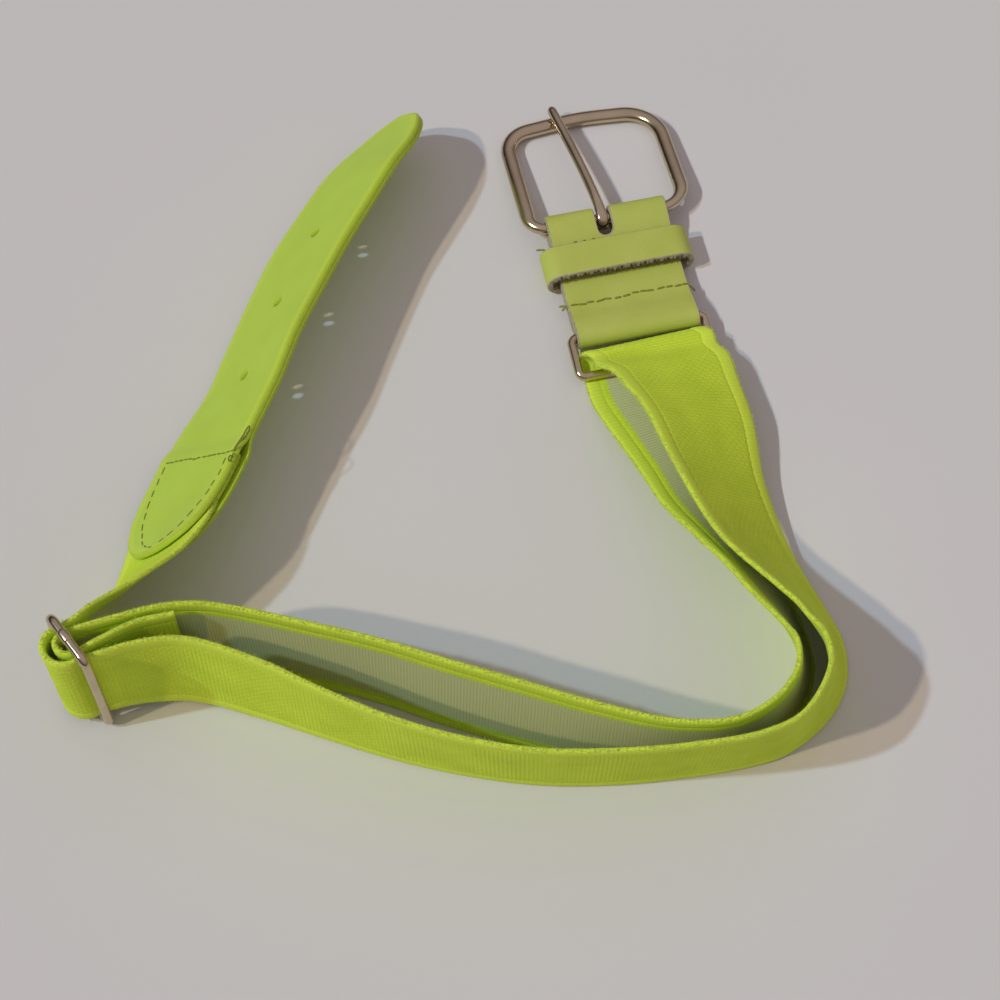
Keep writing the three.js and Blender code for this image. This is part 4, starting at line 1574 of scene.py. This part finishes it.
@dataclass
class Keeper:
    """The leather loop round the tab."""

    width: float = 11.2
    inside: float = 43.2
    room: float = 2.4
    first_end_u: float = 12.7
    second_end_u: float = 13.3
    edge_v: float = 0.3
    fray: float = 0.2
    fray_width: float = 0.8
    fibres: int = 1100
    shortest_fibre: float = 0.3
    longest_fibre: float = 1.2
    fibre_radius: float = 0.19
    fibre_margin: float = 0.8
    bend_reach: float = 2.6
    bend_drop: float = 0.28

    def build(self, material: bpy.types.Material) -> bpy.types.Object:
        """Builds the keeper.

        Args:
            material: Its finish.

        Returns:
            The object.
        """
        half = KEEPER_LEATHER / 2
        under, over = half, TAB_BODY_TOP + self.room + half
        bend, middle = (over - under) / 2, (over + under) / 2
        straight = self.inside / 2 + half - bend
        points = [(self.first_end_u, under), (0, under)]
        points += arc(-straight, middle, bend, -90, -270, 10)
        points += arc(straight, middle, bend, 90, -90, 10)
        points += [(self.second_end_u, under)]
        line = FoldedLine(np.array(points, float))

        def place(length: Points, across: Points, depth: Points) -> Points:
            """Folds the flat keeper and frays its cut edge.

            Args:
                length: How far round the loop.
                across: How far across the keeper's width.
                depth: 0 on the outer face, 1 on the inner one.

            Returns:
                Points on the table.
            """
            u, z = line.at(length, KEEPER_LEATHER * (0.5 - depth))
            wave = np.sin(1.7 * length) + np.sin(4.3 * length + 1.0) + 0.7 * np.sin(9.1 * length + 2.0)
            frayed = self.fray * wave * depth * smoothstep(across, self.width - self.fray_width, self.width)
            return tab_point(u, self.width - self.edge_v - across - frayed, z - frayed)

        corners = np.array([(0, 0), (line.length, 0), (line.length, self.width), (0, self.width)], float)
        sheet = Sheet(resample(corners, 0.4), [], place, spacing=1.2, thick=KEEPER_LEATHER,
                      round_first=0.4, round_second=0.15)
        piece = sheet.build("keeper_loop", material, Slot.TAB_LEATHER)
        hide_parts("keeper")
        return piece

    def build_fibres(self, material: bpy.types.Material) -> bpy.types.Object:
        """Builds the loose fibres along the cut edge, on the raw side of the leather, hanging into the gap
        under the keeper's upper wall, where their dark finish also paints the gap's shadow.

        Args:
            material: Its finish.

        Returns:
            The object.
        """
        rng = np.random.default_rng(21)
        half = self.inside / 2
        u = rng.uniform(-half + self.fibre_margin, half - self.fibre_margin, self.fibres)
        z = TAB_BODY_TOP + self.room + rng.uniform(-0.5, 0.35, self.fibres)
        rise = np.abs(u) - (half - self.bend_reach)
        z -= np.where(rise > 0, self.bend_drop * rise ** 2, 0)
        root = np.column_stack([u, rng.uniform(-0.35, 0.5, self.fibres), z])
        way = unit(np.column_stack([rng.normal(0, 0.6, self.fibres), rng.normal(-0.35, 0.3, self.fibres),
                                    rng.normal(-0.7, 0.3, self.fibres)]))
        length = rng.uniform(self.shortest_fibre, self.longest_fibre, self.fibres)
        points, faces = spikes(root, way, length, self.fibre_radius)
        return make_piece("keeper_fibres", tab_point(*points.T), faces, material, Slot.TAB_LEATHER)


def rounded_loop(corners: Sequence[tuple[float, float, float]], steps: int) -> Points:
    """Points round a loop of straight bars whose corners are rounded by their own radius.

    Args:
        corners: The coordinates and the radius of each corner.
        steps: The steps of a quarter turn.

    Returns:
        The points.
    """
    made = []
    count = len(corners)
    for i, (u, v, radius) in enumerate(corners):
        here = np.array([u, v])
        into = here - np.array(corners[i - 1][:2])
        out = np.array(corners[(i + 1) % count][:2]) - here
        into, out = into / np.linalg.norm(into), out / np.linalg.norm(out)
        turn = math.atan2(into[0] * out[1] - into[1] * out[0], float(into @ out))
        start = here - into * radius * math.tan(abs(turn) / 2)
        centre = start + np.array([-into[1], into[0]]) * math.copysign(radius, turn)
        pieces = max(3, round(steps * abs(turn) / (math.pi / 2)))
        for k in range(pieces + 1):
            c, s = math.cos(turn * k / pieces), math.sin(turn * k / pieces)
            d = start - centre
            made.append(centre + np.array([c * d[0] - s * d[1], s * d[0] + c * d[1]]))
    return np.array(made)


def sweep_loop(points: Points, up: Points, section: Callable[[int], Points]) -> Points:
    """Rings of a section swept round a closed loop; up is the loop plane's normal.

    Args:
        points: The loop's points.
        up: Its plane's normal.
        section: Gives the section at the point of a given number.

    Returns:
        The rings, one after another.
    """
    side = unit(np.cross(unit(np.roll(points, -1, 0) - np.roll(points, 1, 0)), up))
    rings = []
    for i, point in enumerate(points):
        shape = section(i)
        rings.append(point + side[i] * shape[:, 0:1] + up * shape[:, 1:2])
    return np.vstack(rings)


def sloped(loop: Points, start: tuple[float, float], end: tuple[float, float]) -> tuple[Points, Points]:
    """Lays a flat loop on the slope through two points.

    Args:
        loop: The loop in u and v.
        start: The v and z of one point.
        end: The v and z of the other, further towards the buckle.

    Returns:
        The loop in u, v and z, and the slope's normal.
    """
    z = start[1] + (loop[:, 1] - start[0]) * (end[1] - start[1]) / (end[0] - start[0])
    slope = math.atan2(start[1] - end[1], end[0] - start[0])
    return np.column_stack([loop, z]), np.array([0, math.sin(slope), math.cos(slope)])


def oval(width: float, height: float, sides: int, power: float = 1.0) -> Points:
    """A rounded section; a power below 1 squares it.

    Args:
        width: Its width.
        height: Its height.
        sides: Its points.
        power: Rounds or squares it.

    Returns:
        The points.
    """
    turn = (np.arange(sides) + 0.5) * 2 * math.pi / sides
    c, s = np.cos(turn), np.sin(turn)
    return np.column_stack([width / 2 * np.sign(c) * np.abs(c) ** power,
                            height / 2 * np.sign(s) * np.abs(s) ** power])


@dataclass
class Buckle:
    """The wire frame and its prong."""

    bar_width: float = 4.8
    bar_height: float = 4.0
    bar_sides: int = 24
    front_v: float = 62.0
    prong_diameter: float = 3.2
    curl_thick: float = 1.5
    curl_width: float = 3.4
    prong_tip_u: float = -7.0
    prong_tip_v: float = 65.2

    @property
    def front_z(self) -> float:
        """Height of the front bar's middle."""
        return self.bar_height / 2 + 0.02

    def build_frame(self, material: bpy.types.Material) -> bpy.types.Object:
        """Builds the rounded rectangular frame.

        Args:
            material: Its finish.

        Returns:
            The object.
        """
        corners = ((-23.4, HEEL_V, 5.2), (26.2, HEEL_V, 8.2), (25.8, 59.6, 12), (1.0, 62.0, 70),
                   (-23.4, 59.9, 8.5))
        loop = resample(rounded_loop(corners, 16), 1.0)
        laid, up = sloped(loop, (HEEL_V, HEEL_Z), (self.front_v, self.front_z))
        bar = oval(self.bar_width, self.bar_height, self.bar_sides)
        heel = oval(2 * HEEL_BAR_RADIUS, 2 * HEEL_BAR_RADIUS, self.bar_sides)
        full = smoothstep(loop[:, 1], HEEL_V + 0.5, HEEL_V + 7)
        rings = sweep_loop(laid, up, lambda i: heel + (bar - heel) * full[i])
        faces = tube_faces(len(loop), self.bar_sides, closed=True)
        piece = make_piece("buckle_wire", tab_point(*rings.T), faces, material, Slot.METAL, body="frame")
        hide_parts("buckle_frame")
        return piece

    def build_prong(self, material: bpy.types.Material) -> bpy.types.Object:
        """Builds the prong from its curl to its rounded point.

        Args:
            material: Its finish.

        Returns:
            The object.
        """
        curl = HEEL_BAR_RADIUS + CLEAR + self.curl_thick / 2
        rest = self.front_z + self.bar_height / 2 + CLEAR + self.prong_diameter / 2
        rows = []
        for bearing in range(320, 99, -10):
            turn = math.radians(bearing)
            rows.append((PRONG_U, HEEL_V + curl * math.cos(turn), HEEL_Z + curl * math.sin(turn),
                         self.curl_width, self.curl_thick))
        shank = ((0.04, 0.1, 0.35), (0.1, 0.35, 0.75), (0.18, 0.5, 1), (0.3, 0.52, 1), (0.4, 0.5, 1),
                 (0.52, 0.44, 1), (0.65, 0.35, 1), (0.88, 0.1, 1), (0.955, 0, 0.98),
                 (0.972, -0.02, 0.92), (0.985, -0.05, 0.78), (0.994, -0.08, 0.58), (1, -0.1, 0.3))
        for share, rise, size in shank:
            grown = size if share < 0.2 else 1.0
            full = size if share > 0.9 else 1.0
            wide = self.curl_width + (self.prong_diameter - self.curl_width) * grown
            thick = self.curl_thick + (self.prong_diameter - self.curl_thick) * grown
            rows.append((PRONG_U + (self.prong_tip_u - PRONG_U) * share ** 1.3,
                         HEEL_V + (self.prong_tip_v - HEEL_V) * share,
                         HEEL_Z + curl + (rest - HEEL_Z - curl) * share + rise,
                         wide * full, thick * full))
        path = np.array(rows, float)
        way = unit(np.gradient(path[:, :3], axis=0))
        side = unit(np.array([1.0, 0, 0]) - way * way[:, 0:1])
        up = np.cross(side, way)
        rings = []
        for row, s, w in zip(path, side, up):
            shape = oval(row[3], row[4], WIRE_SIDES)
            rings.append(row[:3] + s * shape[:, 0:1] + w * shape[:, 1:2])
        points = tab_point(*np.vstack(rings).T)
        faces = tube_faces(len(path), WIRE_SIDES)
        piece = make_piece("prong_pin", points, faces, material, Slot.METAL, body="prong")
        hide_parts("prong")
        return piece


@dataclass
class JoiningRing:
    """The rectangular wire ring between tab and webbing."""

    inside_width: float = 38.6
    corner: float = 1.9

    def build(self, material: bpy.types.Material) -> bpy.types.Object:
        """Builds the ring.

        Args:
            material: Its finish.

        Returns:
            The object.
        """
        half = (self.inside_width + RING_WIRE) / 2
        corners = ((-half, RING_LOW_V, self.corner), (half, RING_LOW_V, self.corner),
                   (half, RING_TOP_V, self.corner), (-half, RING_TOP_V, self.corner))
        loop = rounded_loop(corners, 12)
        laid, up = sloped(loop, (RING_LOW_V, RING_LOW_Z), (RING_TOP_V, RING_TOP_Z))
        shape = oval(RING_WIRE, RING_WIRE, WIRE_SIDES)
        rings = sweep_loop(laid, up, lambda i: shape)
        faces = tube_faces(len(loop), WIRE_SIDES, closed=True)
        piece = make_piece("ring_wire", tab_point(*rings.T), faces, material, Slot.METAL)
        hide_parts("ring")
        return piece


@dataclass
class Slider:
    """The upright wire slider with its soldered centre bar."""

    height: float = 44.7
    bar: float = 2.0
    corner: float = 2.6
    collar: tuple[tuple[float, float], ...] = ((-1.9, 0.02), (-1.5, 0.16), (-1.0, COLLAR_GROWTH),
                                               (1.0, COLLAR_GROWTH), (1.5, 0.16), (1.9, 0.02))

    def build(self, material: bpy.types.Material) -> bpy.types.Object:
        """Builds the slider.

        Args:
            material: Its finish.

        Returns:
            The object.
        """
        half = SLIDER_WIRE / 2
        foot = half + COLLAR_GROWTH
        long = FRONT_TO_CENTRE + CENTRE_TO_BACK
        corners = ((0, foot, self.corner), (-long, foot, self.corner),
                   (-long, self.height - half, self.corner), (0, self.height - half, self.corner))
        loop = rounded_loop(corners, 12)
        path = np.column_stack([loop[:, 0], np.zeros(len(loop)), loop[:, 1]])
        shape = oval(SLIDER_WIRE, SLIDER_WIRE, WIRE_SIDES)
        points = [sweep_loop(path, np.array([0.0, 1.0, 0.0]), lambda i: shape)]
        faces = tube_faces(len(loop), WIRE_SIDES, closed=True)
        turn = np.arange(WIRE_SIDES) * 2 * math.pi / WIRE_SIDES
        flat = np.ones(WIRE_SIDES)
        for z in (half, self.height - half):
            points.append(np.column_stack([-FRONT_TO_CENTRE + self.bar / 2 * np.cos(turn),
                                           self.bar / 2 * np.sin(turn), z * flat]))
        first = len(loop) * WIRE_SIDES
        faces += tube_faces(2, WIRE_SIDES, first=first)
        first += 2 * WIRE_SIDES
        for z in (foot, self.height - half):
            for x, growth in self.collar:
                r = half + growth
                points.append(np.column_stack([(x - FRONT_TO_CENTRE) * flat, r * np.sin(turn),
                                               z + r * np.cos(turn)]))
            faces += tube_faces(len(self.collar), WIRE_SIDES, first=first)
            first += len(self.collar) * WIRE_SIDES
        local = np.vstack(points)
        c, s = math.cos(SLIDER_TURN), math.sin(SLIDER_TURN)
        placed = np.column_stack([SLIDER_FRONT_BAR[0] + local[:, 0] * c - local[:, 1] * s,
                                  SLIDER_FRONT_BAR[1] + local[:, 0] * s + local[:, 1] * c, local[:, 2]])
        piece = make_piece("slider_wire", placed, faces, material, Slot.METAL)
        consistent(piece)
        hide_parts("slider")
        return piece


@dataclass
class Studio:
    """Floor, camera and lights."""

    camera_at: tuple[float, float, float] = (0.01174, -0.32101, 0.5712)
    target: tuple[float, float, float] = (0.01174, -0.02361, 0.0)
    lens: float = 79.2
    surround: float = 0.443
    surround_colour: Colour = (1.0, 0.877, 0.93, 1.0)
    surround_rise: tuple[float, float, float, float] = (0.0, 0.95, 0.04, 1.0)
    surround_tilt: float = 0.3
    lamp_width: float = 1.9
    floor_reach: float = 4.0
    floor_drop: float = 0.00002

    def build_floor(self, material: bpy.types.Material) -> None:
        """Lays the table top just under the belt.

        Args:
            material: Its finish.
        """
        mesh = bpy.data.meshes.new("floor")
        reach, low = self.floor_reach, -self.floor_drop
        mesh.from_pydata([(-reach, -reach, low), (reach, -reach, low), (reach, reach, low),
                          (-reach, reach, low)], [], [(0, 1, 2, 3)])
        mesh.materials.append(material)
        floor = bpy.data.objects.new("floor", mesh)
        bpy.context.scene.collection.objects.link(floor)

    def build_camera(self) -> None:
        """Places the camera as the photograph was taken."""
        data = bpy.data.cameras.new("camera")
        data.lens, data.sensor_width = self.lens, 36.0
        data.clip_start = 0.01
        camera = bpy.data.objects.new("camera", data)
        camera.location = self.camera_at
        way = Vector(self.target) - Vector(self.camera_at)
        camera.rotation_euler = way.to_track_quat("-Z", "Y").to_euler()
        bpy.context.scene.collection.objects.link(camera)
        bpy.context.scene.camera = camera

    def build_sun(self, name: str, source: tuple[float, float, float],
                  colour: tuple[float, float, float], strength: float) -> None:
        """Adds one distant light.

        Args:
            name: Its name.
            source: The direction that it shines from.
            colour: Its colour.
            strength: Its strength.
        """
        data = bpy.data.lights.new(name, "SUN")
        data.color, data.energy, data.angle = colour, strength, math.radians(self.lamp_width)
        light = bpy.data.objects.new(name, data)
        light.rotation_euler = (-Vector(source)).to_track_quat("-Z", "Y").to_euler()
        bpy.context.scene.collection.objects.link(light)

    def build_lights(self) -> None:
        """Two soft lamps from the left and a surround that grows brighter upwards."""
        self.build_sun("cool_lamp", (-12.8, -3.0, 14.9), (0.577, 0.783, 1.0), 1.109)
        self.build_sun("warm_lamp", (-12.6, -6.1, 14.9), (1.0, 0.823, 0.565), 0.898)
        world = bpy.data.worlds.new("surround")
        world.use_nodes = True
        tree = world.node_tree
        back = tree.nodes["Background"]
        way = tree.nodes.new("ShaderNodeTexCoord")
        parts = tree.nodes.new("ShaderNodeSeparateXYZ")
        rise = tree.nodes.new("ShaderNodeMapRange")
        rise.interpolation_type = "SMOOTHSTEP"
        for socket, value in zip(list(rise.inputs)[1:5], self.surround_rise):
            socket.default_value = value
        tilt = tree.nodes.new("ShaderNodeMath")
        tilt.operation = "MULTIPLY_ADD"
        tilt.inputs[1].default_value = self.surround_tilt
        shade = tree.nodes.new("ShaderNodeMix")
        shade.data_type = "RGBA"
        shade.inputs[6].default_value = (0.0, 0.0, 0.0, 1.0)
        shade.inputs[7].default_value = self.surround_colour
        tree.links.new(way.outputs["Generated"], parts.inputs[0])
        tree.links.new(parts.outputs[0], tilt.inputs[0])
        tree.links.new(parts.outputs[2], tilt.inputs[2])
        tree.links.new(tilt.outputs[0], rise.inputs[0])
        tree.links.new(rise.outputs[0], shade.inputs[0])
        tree.links.new(shade.outputs[2], back.inputs["Color"])
        back.inputs["Strength"].default_value = self.surround
        bpy.context.scene.world = world
        bpy.context.scene.view_settings.view_transform = "Standard"


def main() -> None:
    """Builds the belt piece by piece."""
    logging.basicConfig(level=logging.INFO, format="%(message)s")
    studio = Studio()
    studio.build_camera()
    studio.build_floor(FloorFinish().build("floor_finish"))
    studio.build_lights()

    metal = MetalFinish().build("nickel")
    tab_finish = LeatherFinish(face=linear(198, 207, 102), face_dark=linear(188, 199, 88),
                               edge=linear(206, 194, 176), edge_dark=linear(158, 146, 122),
                               back=linear(190, 178, 170)).build("tab_finish")
    tip_finish = LeatherFinish(face=linear(196, 226, 78), face_dark=linear(190, 220, 70),
                               edge=linear(202, 228, 66), edge_dark=linear(190, 218, 56),
                               back=linear(172, 198, 60), band=2.7).build("tip_finish")
    thread = ThreadFinish().build("thread")
    tab_thread = ThreadFinish(light=linear(164, 166, 62), dark=linear(104, 108, 34)).build("tab_thread")
    # Near-black fibres under the keeper: partly real loose fibres, partly painted shadow in the gap under
    # its upper wall
    fibre = ThreadFinish(light=linear(176, 166, 134), dark=linear(36, 32, 14)).build("raw_fibre_and_gap_shadow")
    webbing_finish = WebbingFinish()

    route = WebbingRoute()
    tip = LeatherTip(route, route.length - LeatherTip.length)
    webbing = Webbing(route, tip.stitch + tip.tuck)
    webbing.build_field(webbing_finish.build_knit("webbing_knit"))
    border_finish = webbing_finish.build_border("webbing_border")
    webbing.build_border("webbing_border_upper", 1, border_finish)
    webbing.build_border("webbing_border_lower", -1, border_finish)
    fuzz = WebbingFinish(border=(0.90, 0.94, 0.30, 1.0), border_dark=(0.74, 0.84, 0.12, 1.0))
    webbing.build_fuzz(fuzz.build_border("webbing_fuzz"))
    tip.build_layer("tip_front_layer", -1, tip_finish)
    tip.build_layer("tip_back_layer", 1, tip_finish)
    tip.build_seams(thread)
    tip.build_loose_thread(thread)
    tab = LeatherTab()
    tab.build(tab_finish)
    tab.build_seams(tab_thread)
    keeper = Keeper()
    keeper.build(tab_finish)
    keeper.build_fibres(fibre)
    buckle = Buckle()
    buckle.build_frame(metal)
    buckle.build_prong(metal)
    JoiningRing().build(metal)
    Slider().build(metal)


if __name__ == "__main__":
    main()
